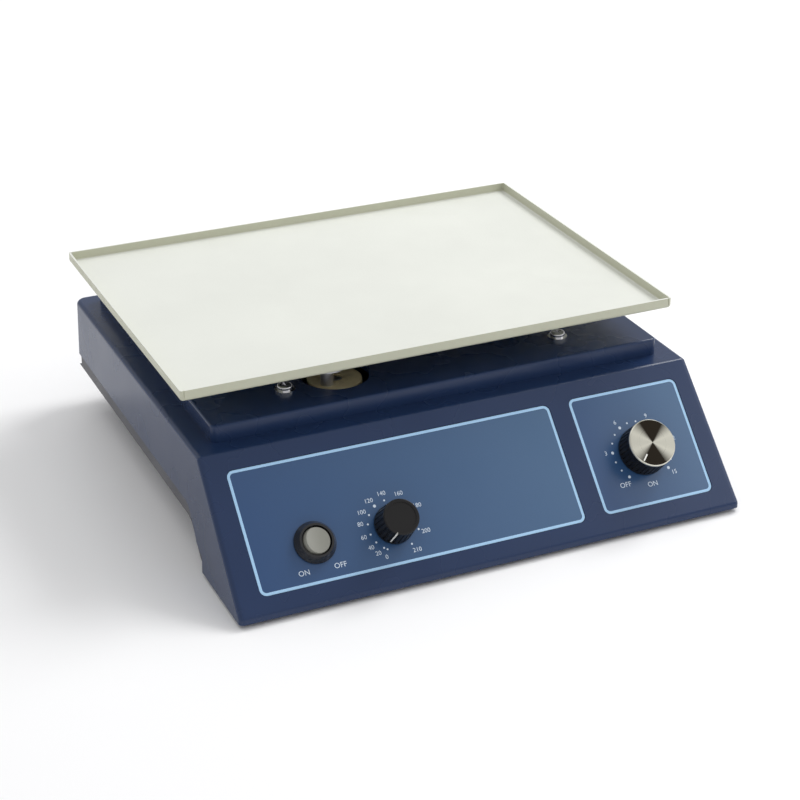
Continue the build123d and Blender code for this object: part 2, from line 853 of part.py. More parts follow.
# Tray
def tray():
    """Folded sheet tray with an upturned lip and a fine slit at each corner."""
    low, high = tray_bottom, tray_bottom + tray_height
    outer = block(-tray_length / 2, tray_length / 2, -tray_depth / 2, tray_depth / 2, low, high)
    outer = fillet(outer.edges().filter_by(Axis.Z), tray_corner)
    outer = fillet(outer.faces().sort_by(Axis.Z)[0].edges(), tray_bend)
    inner_x, inner_y = tray_length / 2 - tray_sheet, tray_depth / 2 - tray_sheet
    hollow = block(-inner_x, inner_x, -inner_y, inner_y, low + tray_sheet, high + 1)
    hollow = fillet(hollow.edges().filter_by(Axis.Z), tray_corner - tray_sheet)
    hollow = fillet(hollow.faces().sort_by(Axis.Z)[0].edges(), tray_bend - tray_sheet)
    sheet = outer - hollow
    for sx in (-1, 1):
        for sy in (-1, 1):
            x = sx * (tray_length / 2 - tray_bend)
            y = sy * tray_depth / 2
            sheet -= block(x - tray_slit / 2, x + tray_slit / 2, y - tray_bend, y + tray_bend, low + tray_bend, high + 1)
    return Pos(orbit_x, deck_shift + orbit_y, 0) * sheet


def tray_frame(shape):
    """Move something made about the deck's middle to where the tray stands at rest."""
    return Pos(orbit_x, deck_shift + orbit_y, 0) * shape


def crank_offsets():
    """The three crank places measured from the deck's middle."""
    return [(x, y - deck_shift) for x, y in cranks.values()]


def carrier_plate():
    """Aluminium plate that joins the three bearing cups under the tray."""
    low, high = tray_bottom - carrier_thick, tray_bottom
    spokes = make_hull([(Pos(x, y) * Circle(carrier_corner)).edge() for x, y in crank_offsets()])
    plate = Pos(0, 0, low) * extrude(spokes, carrier_thick)
    for x, y in crank_offsets():
        for dx, dy in ring_of(3, cup_screw_circle, 30):
            plate -= rod(cup_screw_radius, low - 1, high + 1, x + dx, y + dy)
    for x, y in stud_places:
        plate -= rod(stud_radius + stud_clearance, low - 1, high + 1, x, y)
    window = carrier_window()
    return tray_frame(plate - window)


def carrier_window():
    """Lightening hole in the middle of the carrier plate."""
    low, high = tray_bottom - carrier_thick, tray_bottom
    corners = [(x * carrier_open, y * carrier_open) for x, y in crank_offsets()]
    window = Pos(0, 0, low - 1) * extrude(make_face(Polyline(*corners, close=True)), high - low + 2)
    return fillet(window.edges().filter_by(Axis.Z), carrier_open_round)


def bearing_cup(x, y):
    """Flanged cup, closed on top, that holds one pin bearing."""
    roof = tray_bottom - carrier_thick
    flange = roof - cup_flange_thick
    body = rod(cup_radius, cup_bottom, flange) + rod(cup_flange_radius, flange, roof)
    body -= rod(cup_bearing_outer, cup_bottom - 1, roof - cup_roof)
    for dx, dy in ring_of(3, cup_screw_circle, 30):
        body -= Pos(dx, dy, flange) * Cylinder(cup_screw_radius, cup_flange_thick * 3)
    return tray_frame(Pos(x, y, 0) * body)


def cup_screws():
    """Three screws up through each cup's flange into the carrier plate."""
    flange = tray_bottom - carrier_thick - cup_flange_thick
    screw = Rot(180, 0, 0) * pan_screw(
        cup_screw_radius, cup_screw_head, cup_screw_head_height, cup_flange_thick + carrier_thick
    )
    places = [(x + dx, y + dy) for x, y in crank_offsets() for dx, dy in ring_of(3, cup_screw_circle, 30)]
    return [tray_frame(Pos(x, y, flange) * screw) for x, y in places]


def pin_bearings():
    """One small ball bearing in each cup, turning on its eccentric pin."""
    bearing = ball_bearing(pin_radius + running_fit, cup_bearing_outer, cup_bottom + 0.5, cup_bearing_width)
    return [tray_frame(Pos(x, y, 0) * bearing) for x, y in crank_offsets()]


def tray_studs():
    """Studs welded under the tray."""
    return [tray_frame(rod(stud_radius, tray_bottom - stud_length, tray_bottom, x, y)) for x, y in stud_places]


def tray_nuts():
    """Nuts that pull the carrier plate against the tray."""
    nut = Pos(0, 0, tray_bottom - carrier_thick - stud_nut_thick) * hexagon_nut(stud_nut_across, stud_nut_thick, stud_radius)
    return [tray_frame(Pos(x, y, 0) * nut) for x, y in stud_places]


# Controls
def knob_body(base_radius, top_radius, height, flutes, flute_radius):
    """Tapered knob standing on zero, fluted, hollow underneath and bored for its spindle."""
    body = turned([(0, 0), (base_radius, 0), (base_radius, knob_skirt), (top_radius, height), (0, height)])
    body = fillet(body.edges().group_by(Axis.Z)[0], 0.4)
    for x, y in ring_of(flutes, 1.0, 360 / flutes / 2):
        low, high = knob_skirt + 1.0, height - knob_land
        start = Vector(x, y, 0) * base_radius + Vector(0, 0, low)
        end = Vector(x, y, 0) * (top_radius + 0.15) + Vector(0, 0, high)
        lean = (end - start).normalized()
        body -= Plane(origin=start, z_dir=lean).location * Cylinder(
            flute_radius, (end - start).length, align=(Align.CENTER, Align.CENTER, Align.MIN)
        )
    body -= Cylinder(knob_hollow_radius, 2 * knob_hollow_depth)
    return body - Cylinder(spindle_radius, 2 * (spindle_end - knob_base_height))


def speed_knob():
    """Black knob with a dished face and a pointer groove down its flank."""
    body = knob_body(speed_knob_base, speed_knob_top, speed_knob_height - knob_base_height, speed_flutes, speed_flute_radius)
    top = speed_knob_height - knob_base_height
    body = chamfer(body.edges().group_by(Axis.Z)[-1], 0.6)
    body -= Pos(0, 0, top) * Cylinder(speed_knob_top - 2.0, 2 * pointer_depth)
    groove = Pos(0, speed_knob_top, top / 2) * Box(pointer_width, 2.2, top + 2)
    return knob_on_slope(speed_place, body - groove, speed_zero)


def knob_on_slope(place, shape, pointer_angle):
    """Stand a knob on its label with its pointer turned to an angle, clockwise from straight up."""
    return on_slope(place, knob_base_height) * Rot(0, 0, -pointer_angle) * shape


def timer_knob():
    """Black fluted body of the timer's knob."""
    top = timer_knob_height - knob_base_height - timer_cap_thick
    body = knob_body(timer_knob_base, timer_knob_top, top, timer_flutes, timer_flute_radius)
    return knob_on_slope(timer_place, body, timer_off)


def timer_knob_cap():
    """Spun aluminium disc on the timer's knob, with a bright bevelled rim and a pointer notch."""
    low = timer_knob_height - knob_base_height - timer_cap_thick
    cap = Pos(0, 0, low) * Cylinder(timer_knob_top, timer_cap_thick, align=(Align.CENTER, Align.CENTER, Align.MIN))
    cap = chamfer(cap.edges().group_by(Axis.Z)[-1], timer_cap_chamfer)
    inner, outer = timer_pointer
    groove = Pos(0, (inner + outer) / 2, low + timer_cap_thick) * Box(pointer_width, outer - inner, 2 * pointer_depth)
    return knob_on_slope(timer_place, cap - groove, timer_off)


def spindle(place, low, angle):
    """Control spindle with a flat on its upper end."""
    body = Pos(0, 0, low) * Cylinder(spindle_radius, spindle_end - low, align=(Align.CENTER, Align.CENTER, Align.MIN))
    return on_slope(place) * Rot(0, 0, -angle) * chamfer(body.edges().group_by(Axis.Z)[-1], 0.4)


def bush(low):
    """Threaded bush round a spindle, from the control's case to just above the panel."""
    body = Cylinder(bush_radius, bush_stand - low, align=(Align.CENTER, Align.CENTER, Align.MIN))
    bore = Cylinder(spindle_radius + running_fit, 4 * (bush_stand - low))
    return Pos(0, 0, low) * (body - bore)


def speed_pot():
    """Potentiometer behind the panel, with its bush and a lug block for the three wires."""
    seat = -panel_thick
    body = Pos(0, 0, seat - pot_depth) * Cylinder(pot_radius, pot_depth, align=(Align.CENTER, Align.CENTER, Align.MIN))
    body = fillet(body.edges().group_by(Axis.Z)[0], 1.0)
    body += Pos(0, -pot_lug_reach / 2, seat - pot_depth / 2) * Box(pot_lug_width, pot_lug_reach, 2.0)
    body -= Pos(0, 0, seat) * Cylinder(spindle_radius + running_fit, 2 * spindle_depth)
    return on_slope(speed_place) * (body + bush(seat))


def timer_body():
    """Clockwork timer switch behind the panel, in its own oblong case with two blade terminals."""
    seat = -panel_thick
    width, height, depth = timer_case
    body = Pos(0, 0, seat - depth / 2) * Box(width, height, depth)
    body = fillet(body.edges().filter_by(lambda e: e.length > depth * 0.9 and e.length < depth * 1.1), 3.0)
    for side in (-1, 1):
        body += Pos(side * (width / 2 + terminal_size[2] / 2), 0, seat - depth / 2) * Box(
            terminal_size[2], terminal_size[1], terminal_size[0]
        )
    body -= Pos(0, 0, seat) * Cylinder(spindle_radius + running_fit, 2 * spindle_depth)
    return on_slope(timer_place) * (body + bush(seat))


def panel_nuts():
    """Nuts on the two bushes, hidden in the knobs' hollows."""
    nut = hexagon_nut(nut_across, nut_thick, bush_radius)
    return [on_slope(place, label_thick - label_recess) * nut for place in (speed_place, timer_place)]


def switch_housing():
    """Round rocker switch: bezel, body and two blade terminals."""
    low = label_thick - label_recess
    body = turned([
        (0, -switch_body_depth), (switch_body_radius, -switch_body_depth), (switch_body_radius, low),
        (switch_flange_radius, low), (switch_flange_radius, low + 1.2), (switch_rim_radius, switch_height),
        (switch_mouth_radius, switch_height), (switch_mouth_radius, -switch_well_depth), (0, -switch_well_depth),
    ])
    for side in (-1, 1):
        blade = Box(*terminal_size)
        body += Pos(side * switch_body_radius * 0.45, 0, -switch_body_depth - terminal_size[2] / 2) * blade
    pin = Rot(90, 0, 0) * Cylinder(rocker_pin_radius, 2 * switch_mouth_radius + 1)
    return on_slope(switch_place) * (body + Pos(0, 0, rocker_pivot_height) * pin)


def power_rocker():
    """Ball-sided rocker with a dished face, tilted with its right side pressed in."""
    ball = Sphere(rocker_ball_radius)
    ball -= Pos(0, 0, rocker_face_height + 10) * Box(40, 40, 20)
    ball -= Pos(0, 0, -rocker_skirt - 10) * Box(40, 40, 20)
    dish = Pos(0, 0, rocker_face_height + rocker_dish_radius - rocker_dish) * Rot(90, 0, 0) * Cylinder(rocker_dish_radius, 40)
    bore = Rot(90, 0, 0) * Cylinder(rocker_pin_radius + running_fit, 40)
    return on_slope(switch_place, rocker_pivot_height) * Rot(0, rocker_tilt, 0) * (ball - dish - bore)


# Inlet, fuse, board and transformer
def wall_location(x):
    """On the back wall's outer face at the inlet's height, square to it, with Z out to the rear and Y up."""
    lean = sin(radians(back_draft))
    return Plane(origin=(x, back_at(inlet_z), inlet_z), x_dir=(-1, 0, 0), z_dir=(0, 1, lean)).location


def mains_inlet():
    """Mains inlet: screwed flange, socket with two cut corners, closed at the back."""
    shell = extrude(Rectangle(*inlet_shell), -inlet_socket_depth - inlet_back_wall + inlet_flange_thick)
    flange = extrude(RectangleRounded(*inlet_flange, inlet_flange_corner), inlet_flange_thick)
    body = shell + flange
    width, height = inlet_socket
    socket = make_face(Polyline(
        (-width / 2, height / 2 - inlet_corner), (-width / 2 + inlet_corner, height / 2),
        (width / 2 - inlet_corner, height / 2), (width / 2, height / 2 - inlet_corner),
        (width / 2, -height / 2), (-width / 2, -height / 2), close=True,
    ))
    body -= Pos(0, 0, inlet_flange_thick) * extrude(socket, -inlet_socket_depth)
    for x in (-inlet_screw_x, inlet_screw_x):
        body -= Pos(x, 0, 0) * Cylinder(inlet_screw_radius, 4 * inlet_flange_thick)
    for x, z in inlet_pin_places():
        body -= Pos(x, z, -inlet_socket_depth) * Box(*pin_size, 4 * inlet_back_wall)
    return wall_location(inlet_x) * body


def inlet_pin_places():
    """Line, neutral and raised earth, from the socket's middle."""
    return [(-pin_pitch, -pin_earth_rise / 2), (0, pin_earth_rise / 2), (pin_pitch, -pin_earth_rise / 2)]


def inlet_pins():
    """Three blades, through the inlet's back wall."""
    floor = inlet_flange_thick - inlet_socket_depth
    low = floor - inlet_back_wall - pin_tail
    high = floor + pin_reach
    blade = Pos(0, 0, (low + high) / 2) * Box(*pin_size, high - low)
    return [wall_location(inlet_x) * Pos(x, z, 0) * blade for x, z in inlet_pin_places()]


def inlet_screws():
    """Two screws through the inlet's flange and the wall."""
    screw = pan_screw(inlet_screw_radius, inlet_screw_head, 1.8, inlet_flange_thick + cover_wall + 4)
    return [wall_location(inlet_x) * Pos(x, 0, inlet_flange_thick) * screw for x in (-inlet_screw_x, inlet_screw_x)]


def fuse_holder():
    """Round fuse holder with a flange outside and a nut inside the wall."""
    body = Pos(0, 0, -fuse_depth) * Cylinder(fuse_body_radius, fuse_depth, align=(Align.CENTER, Align.CENTER, Align.MIN))
    body += Cylinder(fuse_flange_radius, fuse_flange_thick, align=(Align.CENTER, Align.CENTER, Align.MIN))
    nut = Pos(0, 0, -cover_wall - nut_thick - 0.1) * hexagon_nut(2 * fuse_nut_radius, nut_thick, fuse_body_radius)
    return wall_location(fuse_x) * (body + nut)


def fuse_cap():
    """Screw cap of the fuse holder with a coin slot and a ribbed rim."""
    cap = Cylinder(fuse_cap_radius, fuse_cap_height, align=(Align.CENTER, Align.CENTER, Align.MIN))
    cap = fillet(cap.edges().group_by(Axis.Z)[-1], 0.8)
    cap -= Pos(0, 0, fuse_cap_height) * Box(2 * fuse_cap_radius + 2, 1.4, 2.4)
    for x, y in ring_of(16, fuse_cap_radius):
        cap -= Pos(x, y, 0) * Cylinder(0.4, 2 * (fuse_cap_height - 1.5))
    return wall_location(fuse_x) * Pos(0, 0, fuse_flange_thick) * cap


def control_board():
    """Printed circuit board on four posts."""
    x0, x1, y0, y1 = board_box
    low = base_floor + board_stand
    board = block(x0, x1, y0, y1, low, low + board_thick)
    board = fillet(board.edges().filter_by(Axis.Z), 2.0)
    for x, y in board_screw_places():
        board -= rod(board_screw_radius, low - 1, low + board_thick + 1, x, y)
    return board


def board_parts():
    """What stands on the board: finned heat sink, smoothing capacitors, relay and wire terminals."""
    x0, x1, y0, y1 = board_box
    top = base_floor + board_stand + board_thick
    fins = block(x0 + 14, x0 + 40, y1 - 12, y1 - 9, top, top + 20)
    for i in range(6):
        x = x0 + 14 + i * 4.8
        fins += block(x, x + 2, y1 - 9.5, y1 - 3, top, top + 20)
    parts = [fins]
    for x, y, r, h in ((x0 + 22, y0 + 24, 6.0, 13.0), (x0 + 38, y0 + 24, 6.0, 13.0), (x0 + 34, y0 + 42, 4.0, 11.0)):
        can = rod(r, top, top + h, x, y)
        parts.append(fillet(can.edges().group_by(Axis.Z)[-1], 0.8))
    parts.append(block(x1 - 28, x1 - 10, y0 + 28, y0 + 43, top, top + 14))
    terminals = block(x1 - 46, x1 - 16, y0 + 3, y0 + 11, top, top + 10)
    for i in range(6):
        x = x1 - 46 + 2.5 + i * 5
        terminals -= block(x - 1.6, x + 1.6, y0 + 2, y0 + 6, top + 2, top + 6)
    parts.append(terminals)
    return parts


def base_screws():
    """Screws that hold the board and the transformer down on the base."""
    top = base_floor + board_stand + board_thick
    board = pan_screw(board_screw_radius, board_screw_head, 1.6, board_thick + board_stand - 1)
    mains = pan_screw(board_screw_radius, board_screw_head, 1.6, transformer_foot[2] + 1.0)
    screws = [Pos(x, y, top) * board for x, y in board_screw_places()]
    return screws + [Pos(x, y, base_floor + transformer_foot[2]) * mains for x, y in transformer_screw_places()]


def transformer_core():
    """Laminated core with its windows, on a foot strap with two screw holes."""
    x, y = transformer_place
    width, depth, height = transformer_core_size
    low = base_floor + transformer_foot[2]
    core = block(-width / 2, width / 2, -depth / 2, depth / 2, low, low + height)
    coil_width, _, coil_height = transformer_coil_size
    limb = width / 6
    for side in (-1, 1):
        x_in, x_out = side * limb, side * 2 * limb
        core -= block(min(x_in, x_out), max(x_in, x_out), -depth, depth,
                      low + (height - coil_height) / 2, low + (height + coil_height) / 2)
    foot = block(-transformer_foot[0] / 2, transformer_foot[0] / 2, -transformer_foot[1] / 2,
                 transformer_foot[1] / 2, base_floor, low)
    core += foot
    for side in (-1, 1):
        core -= rod(board_screw_radius, base_floor - 1, low + 1, side * transformer_screw_x, 0)
    return Pos(x, y, 0) * core


def transformer_coil():
    """Wound coil round the core's middle limb."""
    x, y = transformer_place
    width, depth, height = transformer_core_size
    _, coil_depth, coil_height = transformer_coil_size
    limb = width / 6
    middle = base_floor + transformer_foot[2] + height / 2
    coil = block(-2 * limb, 2 * limb, -coil_depth / 2, coil_depth / 2, middle - coil_height / 2, middle + coil_height / 2)
    coil = fillet(coil.edges().filter_by(Axis.Z), limb * 0.8)
    coil -= block(-limb, limb, -depth / 2, depth / 2, middle - height, middle + height)
    return Pos(x, y, 0) * coil


# Nodes
def crank_nodes(name, bottom):
    """The pieces that turn together in one well."""
    x, y = cranks[name]
    pieces = {"disc": crank_disc(), "shaft": crank_shaft(bottom), "pin": crank_pin(), "screw": disc_screw()}
    if name == "drive":
        pieces["pulley"] = pulley(crank_pulley_radius, shaft_radius, web=True)
        pieces["counterweight"] = counterweight()
    else:
        pieces["ring"] = retaining_ring()
    return {f"{name}_{key}": Pos(x, y, 0) * shape for key, shape in pieces.items()}


def all_nodes():
    """Every node by name."""
    nodes = {
        "top_cover": top_cover(),
        "base_shell": base_shell(),
        "main_label": label_plate(main_label, [
            (switch_place, switch_body_radius + switch_hole_clearance), (speed_place, bush_radius + bush_clearance),
        ]),
        "timer_label": label_plate(timer_label, [(timer_place, bush_radius + bush_clearance)]),
        "chassis_plate": chassis_plate(),
        "deck_washers": group(
            tube(deck_washer_radius, deck_screw_radius + bush_clearance, deck_top, deck_top + deck_washer_thick, x, y)
            for x, y in deck_screw_places()
        ),
        "deck_screws": group(
            Pos(x, y, deck_top + deck_washer_thick)
            * pan_screw(deck_screw_radius, deck_head_radius, deck_head_height, deck_top + deck_washer_thick - plate_under)
            for x, y in deck_screw_places()
        ),
        "bearing_housings": group(bearing_housing(x, y) for x, y in cranks.values()),
        "chassis_screws": group(chassis_screws()),
        "shaft_bearings": group(shaft_bearings()),
        "drive_belt": drive_belt(),
        "drive_motor": drive_motor(),
        "motor_shaft": motor_shaft(),
        "motor_pulley": Pos(*motor_place, 0) * pulley(motor_pulley_radius, motor_shaft_radius),
        "control_board": control_board(),
        "board_parts": group(board_parts()),
        "base_screws": group(base_screws()),
        "transformer_core": transformer_core(),
        "transformer_coil": transformer_coil(),
        "speed_pot": speed_pot(),
        "timer_body": timer_body(),
        "panel_nuts": group(panel_nuts()),
        "switch_housing": switch_housing(),
        "power_rocker": power_rocker(),
        "speed_knob": speed_knob(),
        "speed_spindle": spindle(speed_place, -panel_thick - spindle_depth + 0.5, speed_zero),
        "timer_knob": timer_knob(),
        "timer_knob_cap": timer_knob_cap(),
        "timer_spindle": spindle(timer_place, -panel_thick - spindle_depth + 0.5, timer_off),
        "mains_inlet": mains_inlet(),
        "inlet_pins": group(inlet_pins()),
        "inlet_screws": group(inlet_screws()),
        "fuse_holder": fuse_holder(),
        "fuse_cap": fuse_cap(),
        "rubber_feet": group(foot(x, y) for x, y in foot_places),
        "foot_screws": group(foot_screw(x, y) for x, y in foot_places),
        "case_screws": group(case_screw(x, y) for x, y in case_boss_places),
        "tray": tray(),
        "carrier_plate": carrier_plate(),
        "bearing_cups": group(bearing_cup(x, y) for x, y in crank_offsets()),
        "cup_screws": group(cup_screws()),
        "pin_bearings": group(pin_bearings()),
        "tray_studs": group(tray_studs()),
        "tray_nuts": group(tray_nuts()),
    }
    tails = {"drive": pulley_bottom - shaft_tail}
    for name in cranks:
        nodes.update(crank_nodes(name, tails.get(name, housing_bottom - ring_gap - ring_thick - idler_tail)))
    return nodes


os.makedirs("parts", exist_ok=True)
for node, shape in all_nodes().items():
    export_step(shape, f"parts/{node}.step")
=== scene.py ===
"""Orbital shaker: the finishes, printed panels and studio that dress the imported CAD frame.

Everything is in metres in the frame's own axes: the sloping panel faces -Y and +Z is up.
"""

from __future__ import annotations

import json
import logging
import math
from collections.abc import Callable
from dataclasses import dataclass, field
from enum import Enum
from typing import Any

import bmesh
import bpy
from mathutils import Matrix, Vector

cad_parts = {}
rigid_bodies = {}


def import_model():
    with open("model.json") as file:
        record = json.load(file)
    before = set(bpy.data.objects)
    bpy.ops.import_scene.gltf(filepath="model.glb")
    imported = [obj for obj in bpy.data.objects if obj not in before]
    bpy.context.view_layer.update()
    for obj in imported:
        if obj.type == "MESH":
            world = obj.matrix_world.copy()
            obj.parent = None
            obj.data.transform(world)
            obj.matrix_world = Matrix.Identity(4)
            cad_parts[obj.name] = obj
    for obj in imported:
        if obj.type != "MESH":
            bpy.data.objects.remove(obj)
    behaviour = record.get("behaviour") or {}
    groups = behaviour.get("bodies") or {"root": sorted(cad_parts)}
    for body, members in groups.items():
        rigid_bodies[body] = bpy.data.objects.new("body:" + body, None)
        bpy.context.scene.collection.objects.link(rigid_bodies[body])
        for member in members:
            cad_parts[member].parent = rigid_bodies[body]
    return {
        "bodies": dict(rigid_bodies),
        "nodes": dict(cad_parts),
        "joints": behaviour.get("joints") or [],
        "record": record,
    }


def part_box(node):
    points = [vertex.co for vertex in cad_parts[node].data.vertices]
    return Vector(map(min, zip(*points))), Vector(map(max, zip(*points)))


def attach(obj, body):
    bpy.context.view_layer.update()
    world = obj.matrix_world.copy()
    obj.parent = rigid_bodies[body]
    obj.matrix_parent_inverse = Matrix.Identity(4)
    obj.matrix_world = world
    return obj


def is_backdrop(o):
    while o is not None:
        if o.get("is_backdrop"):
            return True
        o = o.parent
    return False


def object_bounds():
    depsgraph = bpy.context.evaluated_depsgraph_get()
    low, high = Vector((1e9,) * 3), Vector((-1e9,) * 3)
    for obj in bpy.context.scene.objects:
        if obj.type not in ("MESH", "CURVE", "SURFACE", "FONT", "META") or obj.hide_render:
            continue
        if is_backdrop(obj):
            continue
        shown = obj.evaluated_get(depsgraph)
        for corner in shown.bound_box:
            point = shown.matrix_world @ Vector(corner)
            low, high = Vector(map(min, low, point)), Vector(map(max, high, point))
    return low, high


LOG = logging.getLogger("shaker")
MM = 0.001

UP = Vector((0, 0, 1))
FLAT = Vector((1, 1, 0))
RED = Vector((1, 0, 0))
TINY = 1e-6
MERGE = 1e-5

Triple = tuple[float, float, float]
Colour = Triple
Span = tuple[float, float]
Outline = list[Span]

# Range where cloud noise mostly lies
CLOUD: Span = (0.3, 0.7)


def srgb(red: float, green: float, blue: float) -> Colour:
    """Turn a display colour into the linear one that shaders take.

    Args:
        red: red from 0 to 255.
        green: green from 0 to 255.
        blue: blue from 0 to 255.

    Returns:
        The same colour in linear values from 0 to 1.
    """

    def linear(level: float) -> float:
        """Linear value of one channel."""
        share = level / 255
        return share / 12.92 if share <= 0.04045 else ((share + 0.055) / 1.055) ** 2.4

    return (linear(red), linear(green), linear(blue))


def scaled(colour: Colour, share: float) -> Colour:
    """Return a colour made darker or lighter by a share."""
    return (colour[0] * share, colour[1] * share, colour[2] * share)


# Shader arithmetic


def arithmetic(
    operation: str, kind: str = "ShaderNodeMath", output: str | int = 0, swapped: bool = False
) -> Callable[..., Signal]:
    """Make an operator for signals out of a node.

    Args:
        operation: the node's operation.
        kind: the node's type.
        output: the output to read, by name or place.
        swapped: whether the other value comes first.

    Returns:
        The operator, which takes a signal and for most operations another value.
    """

    def apply(self: Signal, other: Any = None) -> Signal:
        """Add the node."""
        values = [self] if other is None else [self, other]
        inputs = dict(enumerate(reversed(values) if swapped else values))
        return self.graph.node(kind, {"operation": operation}, inputs, output)

    return apply


class Signal:
    """One output socket of a material's tree, with the operators that its arithmetic uses."""

    __add__ = arithmetic("ADD")
    __sub__ = arithmetic("SUBTRACT")
    __rsub__ = arithmetic("SUBTRACT", swapped=True)
    __mul__ = arithmetic("MULTIPLY")
    __truediv__ = arithmetic("DIVIDE")
    __gt__ = arithmetic("GREATER_THAN")
    __lt__ = arithmetic("LESS_THAN")
    power = arithmetic("POWER")
    sine = arithmetic("SINE")
    absolute = arithmetic("ABSOLUTE")
    dot = arithmetic("DOT_PRODUCT", "ShaderNodeVectorMath", "Value")
    less = arithmetic("SUBTRACT", "ShaderNodeVectorMath", "Vector")
    stretched = arithmetic("MULTIPLY", "ShaderNodeVectorMath", "Vector")
    length = arithmetic("LENGTH", "ShaderNodeVectorMath", "Value")

    def __init__(self, graph: Graph, socket: bpy.types.NodeSocket) -> None:
        """Keep the socket and the tree it belongs to."""
        self.graph = graph
        self.socket = socket

    def band(self, low: float, high: float, start: float = 0.0, end: float = 1.0) -> Signal:
        """Stretch the range from low to high over another range, held at its ends.

        Args:
            low: value that becomes start.
            high: value that becomes end.
            start: result at low.
            end: result at high.

        Returns:
            The stretched value.
        """
        inputs = {"Value": self, "From Min": low, "From Max": high, "To Min": start, "To Max": end}
        return self.graph.node("ShaderNodeMapRange", {"clamp": True}, inputs, "Result")

    def clouded(self, span: Span = (0.0, 1.0)) -> Signal:
        """Stretch the range where cloud noise mostly lies over a span."""
        return self.band(*CLOUD, *span)

    def ridges(self, period: float) -> Signal:
        """Round ridges from 0 to 1 along this length, one in each period."""
        return (self * (2 * math.pi / period)).sine() * 0.5 + 0.5


class Graph:
    """The node tree of one material, with a principled shader at its end."""

    def __init__(self, name: str) -> None:
        """Make the material and its shader.

        Args:
            name: the material's name.
        """
        self.material = bpy.data.materials.new(name)
        self.material.use_nodes = True
        self.tree = self.material.node_tree
        self.tree.nodes.clear()
        self.shader = self.tree.nodes.new("ShaderNodeBsdfPrincipled")
        output = self.tree.nodes.new("ShaderNodeOutputMaterial")
        self.tree.links.new(self.shader.outputs["BSDF"], output.inputs["Surface"])
        self._place: Signal | None = None

    def node(
        self,
        kind: str,
        settings: dict[str, Any] | None = None,
        inputs: dict[str | int, Any] | None = None,
        output: str | int = 0,
    ) -> Signal:
        """Add any node.

        Args:
            kind: the node's type.
            settings: its own settings, set first.
            inputs: a value or a signal for each socket, by name or place.
            output: the output socket to read, by name or place.

        Returns:
            The chosen output.
        """
        made = self.tree.nodes.new(kind)
        for key, value in (settings or {}).items():
            setattr(made, key, value)
        for key, value in (inputs or {}).items():
            self.feed(made.inputs[key], value)
        return Signal(self, made.outputs[output])

    def feed(self, socket: bpy.types.NodeSocket, value: Any) -> None:
        """Link a signal to a socket, or set the socket's own value."""
        if isinstance(value, Signal):
            self.tree.links.new(value.socket, socket)
        elif socket.type == "RGBA" and len(value) == 3:
            socket.default_value = (*value, 1.0)
        else:
            socket.default_value = value

    def set(self, **sockets: Any) -> None:
        """Set or link the shader's sockets, named with underscores for spaces."""
        for key, value in sockets.items():
            self.feed(self.shader.inputs[key.replace("_", " ")], value)

    @property
    def place(self) -> Signal:
        """Where a point lies in its own object, in metres."""
        if self._place is None:
            self._place = self.node("ShaderNodeTexCoord", output="Object")
        return self._place

    def noise(
        self, size: float, detail: float = 3.0, roughness: float = 0.5, vector: Signal | None = None
    ) -> Signal:
        """Add cloud noise.

        Args:
            size: width of one cloud in metres.
            detail: how many finer layers lie on it.
            roughness: how strong the finer layers are.
            vector: where to read it, or the object's own place.

        Returns:
            A value around 0.5.
        """
        inputs = {"Vector": vector or self.place, "Scale": 1 / size, "Detail": detail, "Roughness": roughness}
        return self.node("ShaderNodeTexNoise", None, inputs, "Fac")

    def cells(
        self, size: float, feature: str = "F1", vector: Signal | None = None, output: str = "Distance"
    ) -> Signal:
        """Add a cell pattern.

        Args:
            size: width of one cell in metres.
            feature: what the pattern measures.
            vector: where to read it, or the object's own place.
            output: the output socket to read.

        Returns:
            The chosen measure of the cells.
        """
        inputs = {"Vector": vector or self.place, "Scale": 1 / size}
        return self.node("ShaderNodeTexVoronoi", {"feature": feature}, inputs, output)

    def mix(self, first: Any, second: Any, share: Any) -> Signal:
        """Mix two colours.

        Args:
            first: colour where the share is 0.
            second: colour where the share is 1.
            share: number or signal.

        Returns:
            The mixed colour.
        """
        made = self.tree.nodes.new("ShaderNodeMix")
        made.data_type = "RGBA"
        self.feed(made.inputs["Factor"], share)
        colours = [s for s in made.inputs if s.type == "RGBA"]
        self.feed(colours[0], first)
        self.feed(colours[1], second)
        return Signal(self, next(s for s in made.outputs if s.type == "RGBA"))

    def bump(self, height: Signal, depth: float) -> Signal:
        """Tilt the surface by a height from 0 to 1, as deep as the given metres."""
        inputs = {"Height": height, "Distance": depth, "Strength": 1.0}
        return self.node("ShaderNodeBump", None, inputs, "Normal")

    def drift(self, colour: Colour, spread: float, size: float) -> Signal:
        """Let a colour drift a little lighter and darker over the surface.

        Args:
            colour: the middle colour.
            spread: the largest share that it departs by.
            size: width of one patch in metres.

        Returns:
            The drifting colour.
        """
        dark, pale = scaled(colour, 1 - spread), scaled(colour, 1 + spread)
        return self.mix(dark, pale, self.noise(size, detail=4.0).clouded())


# Finishes


@dataclass(frozen=True)
class Finish:
    """What every finish has: a name, a colour and how rough it is."""

    name: str
    colour: Colour
    roughness: float

    def paint(self, graph: Graph) -> None:
        """Dress the shader; each kind of finish does this its own way.

        Args:
            graph: the material's tree.
        """
        raise NotImplementedError

    def uneven(self, pattern: Signal, shares: Span, part: Span = CLOUD) -> Signal:
        """Let the roughness follow cloud noise.

        Args:
            pattern: the noise.
            shares: least and greatest share of the finish's own roughness.
            part: the noise's values that get them.

        Returns:
            The uneven roughness.
        """
        return pattern.band(*part, self.roughness * shares[0], self.roughness * shares[1])

    def make(self) -> bpy.types.Material:
        """Build the material."""
        graph = Graph(self.name)
        self.paint(graph)
        return graph.material


